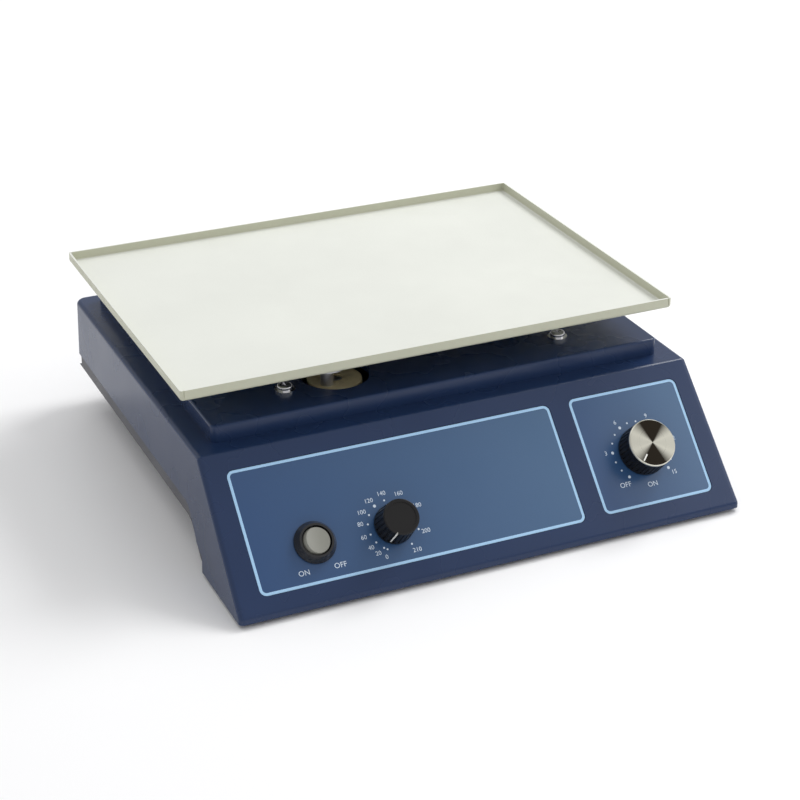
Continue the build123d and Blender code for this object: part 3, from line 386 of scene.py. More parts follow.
@dataclass(frozen=True)
class Moulding(Finish):
    """Injection-moulded plastic: grain, handling marks and a little dust."""

    grain: float = 0.5 * MM
    grain_depth: float = 0.01 * MM
    spread: float = 0.08
    dust: float = 0.0
    coat: float = 0.0
    specular: float = 0.5
    tone_patch: float = 60 * MM
    mark_patch: float = 40 * MM
    mark_range: Span = (0.35, 0.7)
    mark_shares: Span = (0.92, 1.12)
    speck_spacing: float = 7 * MM
    speck_reach: float = 0.035
    speck_colour: Colour = srgb(190, 195, 205)
    speck_cover: float = 0.7
    speck_roughness: float = 0.4
    coat_roughness: float = 0.08

    def paint(self, graph: Graph) -> None:
        """Colour, handling marks, dust specks, grain and coat."""
        colour = graph.drift(self.colour, self.spread, self.tone_patch)
        rough = self.uneven(graph.noise(self.mark_patch, detail=2.5), self.mark_shares, self.mark_range)
        if self.dust:
            cell = graph.cells(self.speck_spacing)
            lottery = graph.cells(self.speck_spacing, output="Color").dot(RED)
            speck = (cell < self.speck_reach) * (lottery > 1 - self.dust)
            colour = graph.mix(colour, self.speck_colour, speck * self.speck_cover)
            rough = rough + speck * self.speck_roughness
        height = graph.noise(self.grain, detail=2.0)
        graph.set(Base_Color=colour, Roughness=rough, Normal=graph.bump(height, self.grain_depth))
        graph.set(Coat_Weight=self.coat, Coat_Roughness=self.coat_roughness, Specular_IOR_Level=self.specular)


@dataclass(frozen=True, kw_only=True)
class PowderCoat(Finish):
    """Baked powder coat on sheet steel: a shallow orange peel, faint scuffs and pinholes."""

    # colour of the painted shade on walls that turn up
    painted_shading: Colour
    scuff: Colour
    tone_spread: float = 0.025
    tone_patch: float = 90 * MM
    gloss_patch: float = 15 * MM
    gloss_shares: Span = (0.85, 1.2)
    painted_shading_range: Span = (0.6, 0.95)
    scuff_patch: float = 38 * MM
    scuff_stretch: Triple = (1.0, 7.0, 1.0)
    scuff_range: Span = (0.66, 0.74)
    scuff_break: float = 0.9 * MM
    scuff_break_range: Span = (0.5, 0.62)
    scuff_cover: float = 0.25
    scuff_roughness: float = 0.2
    pit_spacing: float = 9 * MM
    pit_reach: float = 0.02
    pit_shade: float = 0.55
    pit_cover: float = 0.5
    peel: float = 1.1 * MM
    peel_depth: float = 0.03 * MM
    fine_peel: float = 0.25 * MM
    fine_share: float = 0.25

    def paint(self, graph: Graph) -> None:
        """Colour with painted shade where the sheet turns up, scuffs, pinholes and orange peel."""
        colour = graph.drift(self.colour, self.tone_spread, self.tone_patch)
        # painted shade: surfaces that turn away from straight up get the darker, warmer wall colour
        level = graph.node("ShaderNodeTexCoord", output="Normal").dot(UP)
        colour = graph.mix(self.painted_shading, colour, level.band(*self.painted_shading_range))
        along = graph.place.stretched(self.scuff_stretch)
        streaks = graph.noise(self.scuff_patch, detail=6.0, roughness=0.75, vector=along)
        breaks = graph.noise(self.scuff_break, detail=2.0).band(*self.scuff_break_range)
        scuffs = streaks.band(*self.scuff_range) * breaks
        colour = graph.mix(colour, self.scuff, scuffs * self.scuff_cover)
        pits = graph.cells(self.pit_spacing) < self.pit_reach
        colour = graph.mix(colour, scaled(self.colour, self.pit_shade), pits * self.pit_cover)
        peel = graph.cells(self.peel, "SMOOTH_F1") + graph.noise(self.fine_peel, detail=2.0) * self.fine_share
        gloss = self.uneven(graph.noise(self.gloss_patch, detail=4.0), self.gloss_shares)
        rough = gloss + scuffs * self.scuff_roughness
        graph.set(Base_Color=colour, Roughness=rough, Normal=graph.bump(peel, self.peel_depth))


class Lay(Enum):
    """How fine lines run on worked metal: their stretch, coarseness, detail and roughness."""

    TURNED = ((0.15, 0.15, 6.0), 4, 3.0, 0.6)
    DRAWN = ((1.0, 1.0, 14.0), 8, 4.0, 0.6)
    TUMBLED = ((1.0, 1.0, 1.0), 3, 5.0, 0.7)


@dataclass(frozen=True)
class Metal(Finish):
    """Bare or plated metal with the lines of how it was worked."""

    lay: Lay = Lay.TUMBLED
    pitch: float = 0.25 * MM
    depth: float = 0.006 * MM
    stain: Colour = (0.2, 0.19, 0.17)
    stained: float = 0.25
    stain_patch: float = 6 * MM
    stain_range: Span = (0.58, 0.8)
    stain_roughness: float = 0.3
    tone_spread: float = 0.07
    tone_patch: float = 12 * MM
    gloss_shares: Span = (0.75, 1.35)

    def paint(self, graph: Graph) -> None:
        """Tone, stains where the noise is strongest, and working lines."""
        tone = graph.drift(self.colour, self.tone_spread, self.tone_patch)
        patches = graph.noise(self.stain_patch, detail=6.0, roughness=0.7)
        stains = patches.band(*self.stain_range) * self.stained
        stretch, coarseness, detail, roughness = self.lay.value
        lines = graph.noise(self.pitch * coarseness, detail, roughness, graph.place.stretched(stretch))
        rough = self.uneven(lines, self.gloss_shares) + stains * self.stain_roughness
        graph.set(Base_Color=graph.mix(tone, self.stain, stains), Metallic=1.0, Roughness=rough)
        graph.set(Normal=graph.bump(lines, self.depth))


@dataclass(frozen=True)
class Spangle(Finish):
    """Zinc-plated sheet with its faint crystal patches."""

    patch: float = 9 * MM
    tint_shares: Vector = Vector((0.6, 0.4, 0.0))
    tones: Span = (0.82, 1.12)
    patch_roughness: float = 0.14
    scratch: float = 3 * MM
    scratch_stretch: Triple = (9.0, 1.0, 1.0)
    scratch_depth: float = 0.008 * MM
    scratch_range: Span = (0.35, 0.7)
    scratch_shares: Span = (0.8, 1.1)

    def paint(self, graph: Graph) -> None:
        """Crystal patches of two tones and fine scratches."""
        tint = graph.cells(self.patch, output="Color").dot(self.tint_shares)
        dark, pale = (scaled(self.colour, share) for share in self.tones)
        along = graph.place.stretched(self.scratch_stretch)
        scratch = graph.noise(self.scratch, detail=6.0, roughness=0.75, vector=along)
        rough = tint * self.patch_roughness + self.uneven(scratch, self.scratch_shares, self.scratch_range)
        graph.set(Base_Color=graph.mix(dark, pale, tint), Metallic=1.0, Roughness=rough)
        graph.set(Normal=graph.bump(scratch, self.scratch_depth))


@dataclass(frozen=True, kw_only=True)
class TurnedNylon(Finish):
    """Cream nylon faced on a lathe: rings round the crank's axis, oil-darkened toward the middle."""

    centre: Vector
    radius: float = 17 * MM
    tone_spread: float = 0.08
    tone_patch: float = 14 * MM
    gloss_shares: Span = (0.8, 1.2)
    ring: float = 0.35 * MM
    ring_depth: float = 0.015 * MM
    ring_share: float = 0.6
    fine_grain: float = 0.4 * MM
    oil: Colour = (0.2, 0.15, 0.07)
    blot: float = 8 * MM
    blot_range: Span = (0.35, 0.7)
    oil_range: Span = (0.1, 0.6)
    oil_cover: float = 0.75
    glow_weight: float = 0.15
    glow_radius: Triple = (4 * MM, 3 * MM, 2 * MM)
    glow_scale: float = 0.5

    def paint(self, graph: Graph) -> None:
        """Tool rings, oil stains and a little light under the skin."""
        reach = graph.place.less(self.centre).stretched(FLAT).length()
        blot = graph.noise(self.blot, detail=5.0, roughness=0.65)
        oiled = (1 - reach / self.radius) * blot.band(*self.blot_range)
        tone = graph.drift(self.colour, self.tone_spread, self.tone_patch)
        colour = graph.mix(tone, self.oil, oiled.band(*self.oil_range, 0.0, self.oil_cover))
        height = reach.ridges(self.ring) * self.ring_share + graph.noise(self.fine_grain)
        graph.set(Base_Color=colour, Roughness=self.uneven(blot, self.gloss_shares))
        graph.set(Normal=graph.bump(height, self.ring_depth))
        graph.set(Subsurface_Weight=self.glow_weight, Subsurface_Radius=self.glow_radius)
        graph.set(Subsurface_Scale=self.glow_scale)


@dataclass(frozen=True, kw_only=True)
class SpunFacePaintedFans(Finish):
    """Spun aluminium with fine rings, and a painted reflection: bright and dark fans painted to both sides of
    the dial's axis.
    """

    centre: Vector
    across: Vector
    upward: Vector
    painted_rim_radius: float
    # colour of the dark fans of the painted reflection
    painted_shade: Colour = srgb(34, 29, 22)
    # share by which the painted rim highlight brightens the colour
    painted_rim_highlight_share: float = 1.25
    ring: float = 0.3 * MM
    ring_depth: float = 0.008 * MM
    fray: float = 0.16
    metallic: float = 0.9
    gloss_shares: Span = (0.5, 0.84)
    painted_fan_range: Span = (0.5, 0.92)
    painted_core_range: Span = (0.85, 1.0)
    painted_core_share: float = 0.7
    painted_core_cover: float = 0.5

    def paint(self, graph: Graph) -> None:
        """Painted reflection fans, bright and dark and soft at their edges, over fine rings, inside a painted
        highlight on the rim.
        """
        place = graph.place.less(self.centre)
        sideways, rising = place.dot(self.across), place.dot(self.upward)
        reach = (sideways * sideways + rising * rising).power(0.5)
        outward = graph.node("ShaderNodeCombineXYZ", None, {0: reach})
        rings = graph.noise(self.ring, detail=2.0, vector=outward)
        # painted reflection: a mask by angle round the axis that picks the bright or the dark fans
        painted_shading = (sideways / (reach + TINY)).absolute() + (rings - 0.5) * self.fray
        tone = graph.mix(self.painted_shade, self.colour, painted_shading.band(*self.painted_fan_range))
        # painted reflection: the middle of each bright fan is painted a little darker
        painted_core = painted_shading.band(*self.painted_core_range) * self.painted_core_cover
        tone = graph.mix(tone, scaled(self.colour, self.painted_core_share), painted_core)
        # painted highlight: a bright ring painted round the rim
        tone = graph.mix(tone, scaled(self.colour, self.painted_rim_highlight_share), reach > self.painted_rim_radius)
        graph.set(Base_Color=tone, Metallic=self.metallic, Roughness=self.uneven(rings, self.gloss_shares))
        graph.set(Normal=graph.bump(rings, self.ring_depth))


@dataclass(frozen=True)
class Ink(Finish):
    """Screen-printed ink with a slightly uneven film."""

    thin_patch: float = 0.8 * MM
    thin_share: float = 0.8
    film_range: Span = (0.9, 1.0)
    gloss_patch: float = 2 * MM
    gloss_shares: Span = (0.7, 1.0)
    grain: float = 0.3 * MM
    grain_depth: float = 0.006 * MM

    def paint(self, graph: Graph) -> None:
        """Film that thins in tiny patches."""
        film = graph.noise(self.thin_patch).clouded(self.film_range)
        colour = graph.mix(scaled(self.colour, self.thin_share), self.colour, film)
        rough = self.uneven(graph.noise(self.gloss_patch), self.gloss_shares)
        graph.set(Base_Color=colour, Roughness=rough)
        graph.set(Normal=graph.bump(graph.noise(self.grain, detail=2.0), self.grain_depth))


@dataclass(frozen=True, kw_only=True)
class Overlay(Finish):
    """Printed film over the panel: deep colour under a clear, faintly rippled face, with a painted sheen
    along it.
    """

    # lighter colour of the painted sheen at one end of the film
    painted_sheen: Colour
    middle: Vector
    sheen_run: Vector
    reach: float
    dot_spacing: float = 0.28 * MM
    dot_range: Span = (0.1, 0.6)
    dot_shade: float = 0.75
    dot_cover: float = 0.16
    haze: float = 45 * MM
    gloss_shares: Span = (0.9, 1.12)
    ripple: float = 0.7 * MM
    wave: float = 30 * MM
    ripple_depth: float = 0.004 * MM
    coat: float = 0.25
    coat_roughness: float = 0.2

    def paint(self, graph: Graph) -> None:
        """Colour with a painted sheen that lightens it along the panel, fine mesh of the print, and a clear
        face.
        """
        # painted reflection: the film's colour is lightened toward one end as a broad sheen
        along = graph.place.less(self.middle).dot(self.sheen_run)
        colour = graph.mix(self.colour, self.painted_sheen, along.band(-self.reach, self.reach))
        dots = graph.cells(self.dot_spacing).band(*self.dot_range)
        colour = graph.mix(colour, scaled(self.colour, self.dot_shade), dots * self.dot_cover)
        rough = self.uneven(graph.noise(self.haze, detail=2.0), self.gloss_shares)
        ripple = graph.noise(self.ripple) + graph.noise(self.wave, detail=2.0)
        graph.set(Base_Color=colour, Roughness=rough, Normal=graph.bump(ripple, self.ripple_depth))
        graph.set(Coat_Weight=self.coat, Coat_Roughness=self.coat_roughness)


@dataclass(frozen=True, kw_only=True)
class Rubber(Finish):
    """Moulded rubber: matt, speckled, paler where it rubs."""

    pale: Colour
    rub_patch: float = 4 * MM
    rub_range: Span = (0.5, 0.75)
    rub_cover: float = 0.6
    rub_share: float = 0.85
    stipple: float = 0.35 * MM
    stipple_depth: float = 0.03 * MM

    def paint(self, graph: Graph) -> None:
        """Pale rubbed patches and a stipple."""
        rubbed = graph.noise(self.rub_patch, detail=5.0, roughness=0.7).band(*self.rub_range)
        rough = rubbed.band(0.0, 1.0, self.roughness, self.roughness * self.rub_share)
        graph.set(Base_Color=graph.mix(self.colour, self.pale, rubbed * self.rub_cover), Roughness=rough)
        graph.set(Normal=graph.bump(graph.noise(self.stipple), self.stipple_depth))


@dataclass(frozen=True)
class Laminate(Finish):
    """Stacked core plates under varnish, seen as lines across the core."""

    sheet: float = 0.5 * MM
    sheet_depth: float = 0.08 * MM
    stack: Vector = Vector((0, 1, 0))
    tones: Span = (0.45, 1.3)
    pool: float = 5 * MM
    pool_range: Span = (0.2, 0.8)
    pool_shares: Span = (0.5, 1.0)
    metallic: float = 0.4
    gloss_shares: Span = (0.5, 1.0)

    def paint(self, graph: Graph) -> None:
        """Plate edges and varnish pools."""
        plates = graph.place.dot(self.stack).ridges(self.sheet)
        pool = graph.noise(self.pool, detail=4.0)
        dark, pale = (scaled(self.colour, share) for share in self.tones)
        colour = graph.mix(dark, pale, plates * pool.band(*self.pool_range, *self.pool_shares))
        rough = self.uneven(pool, self.gloss_shares)
        graph.set(Base_Color=colour, Metallic=self.metallic, Roughness=rough)
        graph.set(Normal=graph.bump(plates, self.sheet_depth))


@dataclass(frozen=True)
class Winding(Finish):
    """Enamelled wire in close turns."""

    wire: float = 0.8 * MM
    wire_depth: float = 0.25 * MM
    # share of the colour kept in the painted shade between turns
    painted_shade: float = 0.4
    metallic: float = 0.7
    gloss_patch: float = 3 * MM
    gloss_shares: Span = (0.5, 0.9)

    def paint(self, graph: Graph) -> None:
        """Turns of wire as ridges along the height, with painted shade between the turns."""
        turns = graph.place.dot(UP).ridges(self.wire)
        # painted shade: the colour is darkened between the turns
        tone = graph.mix(scaled(self.colour, self.painted_shade), self.colour, turns)
        rough = self.uneven(graph.noise(self.gloss_patch), self.gloss_shares)
        graph.set(Base_Color=tone, Metallic=self.metallic, Roughness=rough)
        graph.set(Normal=graph.bump(turns, self.wire_depth))


@dataclass(frozen=True, kw_only=True)
class SolderMask(Finish):
    """Green lacquer over copper tracks."""

    copper: Colour
    gloss_patch: float = 5 * MM
    gloss_shares: Span = (0.625, 1.0)
    island: float = 3.2 * MM
    track_range: Span = (0.06, 0.1)
    track_depth: float = 0.035 * MM

    def paint(self, graph: Graph) -> None:
        """Track pattern a little lighter than the board, raised under the lacquer."""
        cell = graph.cells(self.island, "DISTANCE_TO_EDGE", graph.place.stretched(FLAT))
        tracks = cell.band(*self.track_range)
        colour = graph.mix(self.colour, self.copper, tracks)
        rough = self.uneven(graph.noise(self.gloss_patch), self.gloss_shares)
        graph.set(Base_Color=colour, Roughness=rough)
        graph.set(Normal=graph.bump(1 - tracks, self.track_depth))


@dataclass(frozen=True)
class Bench(Finish):
    """Pale seamless bench that the part stands on."""

    specular: float = 0.2
    tone_spread: float = 0.01
    tone_patch: float = 400 * MM

    def paint(self, graph: Graph) -> None:
        """Almost even white."""
        tone = graph.drift(self.colour, self.tone_spread, self.tone_patch)
        graph.set(Base_Color=tone, Roughness=self.roughness, Specular_IOR_Level=self.specular)


# Mesh building


def placed(name: str, data: bpy.types.ID) -> bpy.types.Object:
    """Make an object from its data and put it in the scene.

    Args:
        name: the object's name.
        data: its mesh, light or camera.

    Returns:
        The new object.
    """
    made = bpy.data.objects.new(name, data)
    bpy.context.scene.collection.objects.link(made)
    return made


def axes(origin: Vector, *columns: Vector) -> Matrix:
    """Place three axes at an origin.

    Args:
        origin: where they stand.
        columns: the directions of X, Y and Z.

    Returns:
        The place as a matrix.
    """
    turn = Matrix([[column[row] for column in columns] for row in range(3)])
    return Matrix.Translation(origin) @ turn.to_4x4()


class Form:
    """A mesh under construction, in metres, that becomes one piece."""

    letter_steps = 3

    def __init__(self) -> None:
        """Start empty."""
        self.mesh = bmesh.new()

    def prism(self, outline: Outline, low: float, high: float, where: Matrix) -> None:
        """Add a closed prism.

        Args:
            outline: points of its outline, counter-clockwise seen from above.
            low: height of its underside.
            high: height of its top.
            where: place of the outline's own axes.
        """
        rows = [[self.mesh.verts.new(where @ Vector((x, y, z))) for x, y in outline] for z in (low, high)]
        self.mesh.faces.new(rows[1])
        self.mesh.faces.new(list(reversed(rows[0])))
        self._walls(rows[0], rows[1])

    def band(self, outer: Outline, inner: Outline, low: float, high: float, where: Matrix) -> None:
        """Add a closed band between two outlines with as many points each.

        Args:
            outer: points of the outer edge, counter-clockwise seen from above.
            inner: points of the inner edge, in step with the outer ones.
            low: height of its underside.
            high: height of its top.
            where: place of the outlines' own axes.
        """
        made = {}
        for name, outline in (("outer", outer), ("inner", inner)):
            for level, z in (("low", low), ("high", high)):
                made[name, level] = [self.mesh.verts.new(where @ Vector((x, y, z))) for x, y in outline]
        self._walls(made["outer", "low"], made["outer", "high"])
        self._walls(made["inner", "high"], made["inner", "low"])
        self._walls(made["outer", "high"], made["inner", "high"])
        self._walls(made["inner", "low"], made["outer", "low"])

    def _walls(self, first: list[bmesh.types.BMVert], second: list[bmesh.types.BMVert]) -> None:
        """Join two closed rows of points with faces."""
        count = len(first)
        for index in range(count):
            after = (index + 1) % count
            self.mesh.faces.new((first[index], first[after], second[after], second[index]))

    def words(self, text: str, height: float, thick: float, where: Matrix) -> None:
        """Add printed characters, centred on the place.

        Args:
            text: the characters.
            height: height of a numeral or capital.
            thick: thickness of the ink.
            where: place of the middle, with Y up the characters.
        """
        curve = bpy.data.curves.new("lettering", "FONT")
        curve.body = text
        curve.resolution_u = self.letter_steps
        carrier = bpy.data.objects.new("lettering", curve)
        flat = bpy.data.meshes.new_from_object(carrier)
        points = [v.co.copy() for v in flat.vertices]
        low = Vector((min(p.x for p in points), min(p.y for p in points), 0))
        high = Vector((max(p.x for p in points), max(p.y for p in points), 0))
        scale = height / (high.y - low.y)
        middle = (low + high) / 2
        made = bmesh.new()
        made.from_mesh(flat)
        bmesh.ops.remove_doubles(made, verts=made.verts, dist=MERGE)
        solid = bmesh.ops.extrude_face_region(made, geom=made.faces[:])
        for vert in [v for v in solid["geom"] if isinstance(v, bmesh.types.BMVert)]:
            vert.co.z += thick / scale
        bmesh.ops.recalc_face_normals(made, faces=made.faces[:])
        for vert in made.verts:
            vert.co = where @ ((vert.co - middle) * scale)
        made.to_mesh(flat)
        self.mesh.from_mesh(flat)
        made.free()
        bpy.data.objects.remove(carrier)
        bpy.data.curves.remove(curve)
        bpy.data.meshes.remove(flat)

    def piece(self, name: str, body: str, finish: bpy.types.Material) -> None:
        """Turn the form into a piece that rides on a body.

        Args:
            name: the piece's name.
            body: the CAD body that carries it.
            finish: its material.
        """
        bmesh.ops.recalc_face_normals(self.mesh, faces=self.mesh.faces[:])
        for face in self.mesh.faces:
            face.smooth = False
        data = bpy.data.meshes.new(name)
        self.mesh.to_mesh(data)
        self.mesh.free()
        data.materials.append(finish)
        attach(placed(name, data), body)
        LOG.info("%s: %d faces on %s", name, len(data.polygons), body)


def circle(radius: float, steps: int, centre: Span) -> Outline:
    """Points of a circle, counter-clockwise."""
    turns = [2 * math.pi * step / steps for step in range(steps)]
    return [(centre[0] + radius * math.cos(t), centre[1] + radius * math.sin(t)) for t in turns]


def rounded_outline(low: Vector, high: Vector, radius: float, steps: int = 8) -> Outline:
    """Points of a rectangle with round corners.

    Args:
        low: its lower left corner.
        high: its upper right corner.
        radius: corner radius.
        steps: how many facets each corner has.

    Returns:
        The points, counter-clockwise.
    """
    corners = ((high.x, high.y, 0), (low.x, high.y, 90), (low.x, low.y, 180), (high.x, low.y, 270))
    points: Outline = []
    for x, y, start in corners:
        centre_x = x - math.copysign(radius, x - (low.x + high.x) / 2)
        centre_y = y - math.copysign(radius, y - (low.y + high.y) / 2)
        for step in range(steps + 1):
            turn = math.radians(start + 90 * step / steps)
            points.append((centre_x + radius * math.cos(turn), centre_y + radius * math.sin(turn)))
    return points


# The frame's own pieces


@dataclass(frozen=True)
class Frame:
    """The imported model, and how its nodes get their finishes."""

    loaded: dict[str, Any]

    def joint(self, name: str) -> tuple[Vector, Vector]:
        """Return where a joint sits and which way its axis points."""
        found = next(j for j in self.loaded["joints"] if j["name"] == name)
        return Vector(found["pos_m"]), Vector(found["axis"]).normalized()

    def dress(self, finish: bpy.types.Material, *nodes: str) -> None:
        """Give CAD nodes one finish in every material slot.

        Args:
            finish: the material.
            nodes: the nodes' names.
        """
        for node in nodes:
            carrier = self.loaded["nodes"][node]
            if not carrier.material_slots:
                carrier.data.materials.append(finish)
            for slot in carrier.material_slots:
                slot.material = finish
            LOG.info("%s: %s", node, finish.name)

    def reach(self, node: str, direction: Vector) -> Span:
        """Return the least and greatest reach of a node's points along a direction."""
        reaches = [v.co.dot(direction) for v in self.loaded["nodes"][node].data.vertices]
        return min(reaches), max(reaches)


@dataclass(frozen=True)
class PanelFace:
    """The sloping panel's own axes: across, up the slope and out of it."""

    out: Vector

    @property
    def across(self) -> Vector:
        """Level direction, to the right."""
        return Vector((1, 0, 0))

    @property
    def upward(self) -> Vector:
        """Direction up the slope."""
        return self.out.cross(self.across).normalized()

    def matrix(self, point: Vector) -> Matrix:
        """Return the place of the panel's axes at a point."""
        return axes(point, self.across, self.upward, self.out)


@dataclass
class PrintedPanel:
    """One label on the slope: its film, its border line, and the dots and numerals of its dial."""

    node: str
    face: PanelFace
    frame: Frame
    line_width: float = 1.7 * MM
    line_corner: float = 4.2 * MM
    ink_thick: float = 0.03 * MM
    ink_sink: float = 0.01 * MM
    big_dot: float = 0.95 * MM
    small_dot: float = 0.6 * MM
    dot_facets: int = 20
    numeral_height: float = 2.6 * MM
    word_height: float = 3.1 * MM
    white: Form = field(default_factory=Form)

    def __post_init__(self) -> None:
        """Measure the label in the panel's own axes."""
        reach = self.frame.reach
        x_low, x_high = reach(self.node, self.face.across)
        y_low, y_high = reach(self.node, self.face.upward)
        self.surface = reach(self.node, self.face.out)[1]
        self.low, self.high = Vector((x_low, y_low)), Vector((x_high, y_high))
        self.plane = self.face.matrix(self.face.out * self.surface)

    def flat(self, point: Vector) -> Span:
        """Return a point of the frame as across and up on the label."""
        return point.dot(self.face.across), point.dot(self.face.upward)

    def border(self, finish: bpy.types.Material) -> None:
        """Print the line round the label.

        Args:
            finish: the line's ink.
        """
        form = Form()
        inset = Vector((self.line_width, self.line_width))
        outer = rounded_outline(self.low, self.high, self.line_corner)
        inner = rounded_outline(self.low + inset, self.high - inset, self.line_corner - self.line_width)
        form.band(outer, inner, -self.ink_sink, self.ink_thick, self.plane)
        form.piece(f"{self.node}_border", "base", finish)

    def dot(self, centre: Span, angle: float, reach: float, large: bool) -> None:
        """Print one dot of a dial.

        Args:
            centre: the dial's axis on the label.
            angle: degrees clockwise from straight up.
            reach: distance from the axis.
            large: whether it is one of the big dots.
        """
        radius = self.big_dot if large else self.small_dot
        outline = circle(radius, self.dot_facets, around(centre, angle, reach))
        self.white.prism(outline, -self.ink_sink, self.ink_thick, self.plane)

    def word(self, text: str, spot: Span, height: float) -> None:
        """Print characters centred on a spot of the label."""
        where = self.plane @ Matrix.Translation((spot[0], spot[1], -self.ink_sink))
        self.white.words(text, height, self.ink_thick + self.ink_sink, where)

    def finish_print(self, finish: bpy.types.Material) -> None:
        """Turn the white print into one piece."""
        self.white.piece(f"{self.node}_print", "base", finish)


def around(centre: Span, angle: float, reach: float) -> Span:
    """Return the spot at an angle clockwise from straight up and a distance from a centre."""
    turn = math.radians(angle)
    return centre[0] + reach * math.sin(turn), centre[1] + reach * math.cos(turn)


# Sub-assemblies

Coats = list[tuple[Finish, tuple[str, ...]]]


@dataclass
class Assembly:
    """Pieces of the part that belong together."""

    frame: Frame

    def coats(self) -> Coats:
        """Return each finish with the nodes that get it."""
        raise NotImplementedError

    def build(self) -> None:
        """Give every piece its finish."""
        for finish, nodes in self.coats():
            self.frame.dress(finish.make(), *nodes)


@dataclass
class Housing(Assembly):
    """Cover and base of the wedge-shaped case."""

    cover: Moulding = Moulding(
        "navy_gloss_moulding", srgb(30, 50, 86), 0.27, grain_depth=0.003 * MM, dust=0.03, spread=0.05,
        specular=0.4,
    )
    shell: Moulding = Moulding(
        "grey_satin_moulding", srgb(84, 84, 90), 0.5, grain=0.6 * MM, grain_depth=0.05 * MM, spread=0.05
    )

    def coats(self) -> Coats:
        """Return both shells' finishes."""
        return [(self.cover, ("top_cover",)), (self.shell, ("base_shell",))]


@dataclass(frozen=True)
class SpeedScale:
    """Numbers of the speed dial, which aren't evenly spaced."""

    angles: tuple[float, ...] = (-149.5, -141.4, -120.7, -99.9, -76.6, -55.1, -30.3, -3.7, 27.1, 65.0, 112.0)
    step: int = 20
    last: tuple[int, float] = (210, 150.4)
    marked: int = 120
    dot_reach: float = 15.4 * MM
    number_reach: float = 19.9 * MM
    nudge: dict[int, float] = field(default_factory=lambda: {0: -2.0, 20: 5.5})

    def stops(self) -> list[tuple[int, float]]:
        """Return each number with its angle clockwise from straight up."""
        return [(index * self.step, angle) for index, angle in enumerate(self.angles)] + [self.last]


@dataclass(frozen=True)
class TimerScale:
    """Minutes of the timer's dial."""

    off: float = -135.7
    full: float = 134.4
    minutes: int = 15
    numbered: int = 3
    dot_reach: float = 19.5 * MM
    number_reach: float = 24.0 * MM
    off_reach: float = 25.4 * MM
    on_reach: float = 21.2 * MM
    on_angle: float = 180.0

    def angle(self, minute: float) -> float:
        """Return the angle of a minute, clockwise from straight up."""
        return self.off + (self.full - self.off) * minute / self.minutes


@dataclass
class ControlPanel:
    """The two labels in the slope with the print of both dials and of the switch."""

    frame: Frame
    face: PanelFace
    film: Colour = srgb(36, 72, 118)
    # lighter colour of the film's painted sheen
    film_light: Colour = srgb(68, 102, 138)
    film_roughness: float = 0.32
    # direction in which the painted sheen lightens the film
    film_run: Vector = Vector((0.95, 0.2, 0.2))
    border_blue: Ink = Ink("border_light_blue_ink", srgb(168, 208, 242), 0.5)
    letter_white: Ink = Ink("lettering_white_ink", srgb(214, 226, 240), 0.5)
    word_side: float = 11.2 * MM
    word_drop: float = 15.8 * MM

    def build(self) -> None:
        """Dress the films and print them."""
        border, letters = self.border_blue.make(), self.letter_white.make()
        for node, printer in (("main_label", self.print_main), ("timer_label", self.print_timer)):
            panel = PrintedPanel(node, self.face, self.frame)
            low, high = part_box(node)
            film = Overlay(
                f"{node}_film", self.film, self.film_roughness, painted_sheen=self.film_light, middle=(low + high) / 2,
                sheen_run=self.film_run, reach=(high.x - low.x) / 2,
            )
            self.frame.dress(film.make(), node)
            panel.border(border)
            printer(panel)
            panel.finish_print(letters)

    def print_main(self, panel: PrintedPanel) -> None:
        """Print the speed dial and the switch's two words.

        Args:
            panel: the main label.
        """
        centre = panel.flat(self.frame.joint("speed_turn")[0])
        dial = SpeedScale()
        for value, angle in dial.stops():
            panel.dot(centre, angle, dial.dot_reach, value == dial.marked)
            spot = around(centre, angle + dial.nudge.get(value, 0.0), dial.number_reach)
            panel.word(str(value), spot, panel.numeral_height)
        across, up = panel.flat(self.frame.joint("power_rock")[0])
        for text, side in (("ON", -self.word_side), ("OFF", self.word_side)):
            panel.word(text, (across + side, up - self.word_drop), panel.word_height)

    def print_timer(self, panel: PrintedPanel) -> None:
        """Print the timer's dots, minutes and words.

        Args:
            panel: the timer's label.
        """
        centre = panel.flat(self.frame.joint("timer_turn")[0])
        dial = TimerScale()
        for minute in range(dial.minutes + 1):
            angle = dial.angle(minute)
            numbered = minute % dial.numbered == 0
            panel.dot(centre, angle, dial.dot_reach, numbered)
            if numbered and minute:
                panel.word(str(minute), around(centre, angle, dial.number_reach), panel.numeral_height)
        panel.word("OFF", around(centre, dial.off, dial.off_reach), panel.word_height)
        panel.word("ON", around(centre, dial.on_angle, dial.on_reach), panel.word_height)


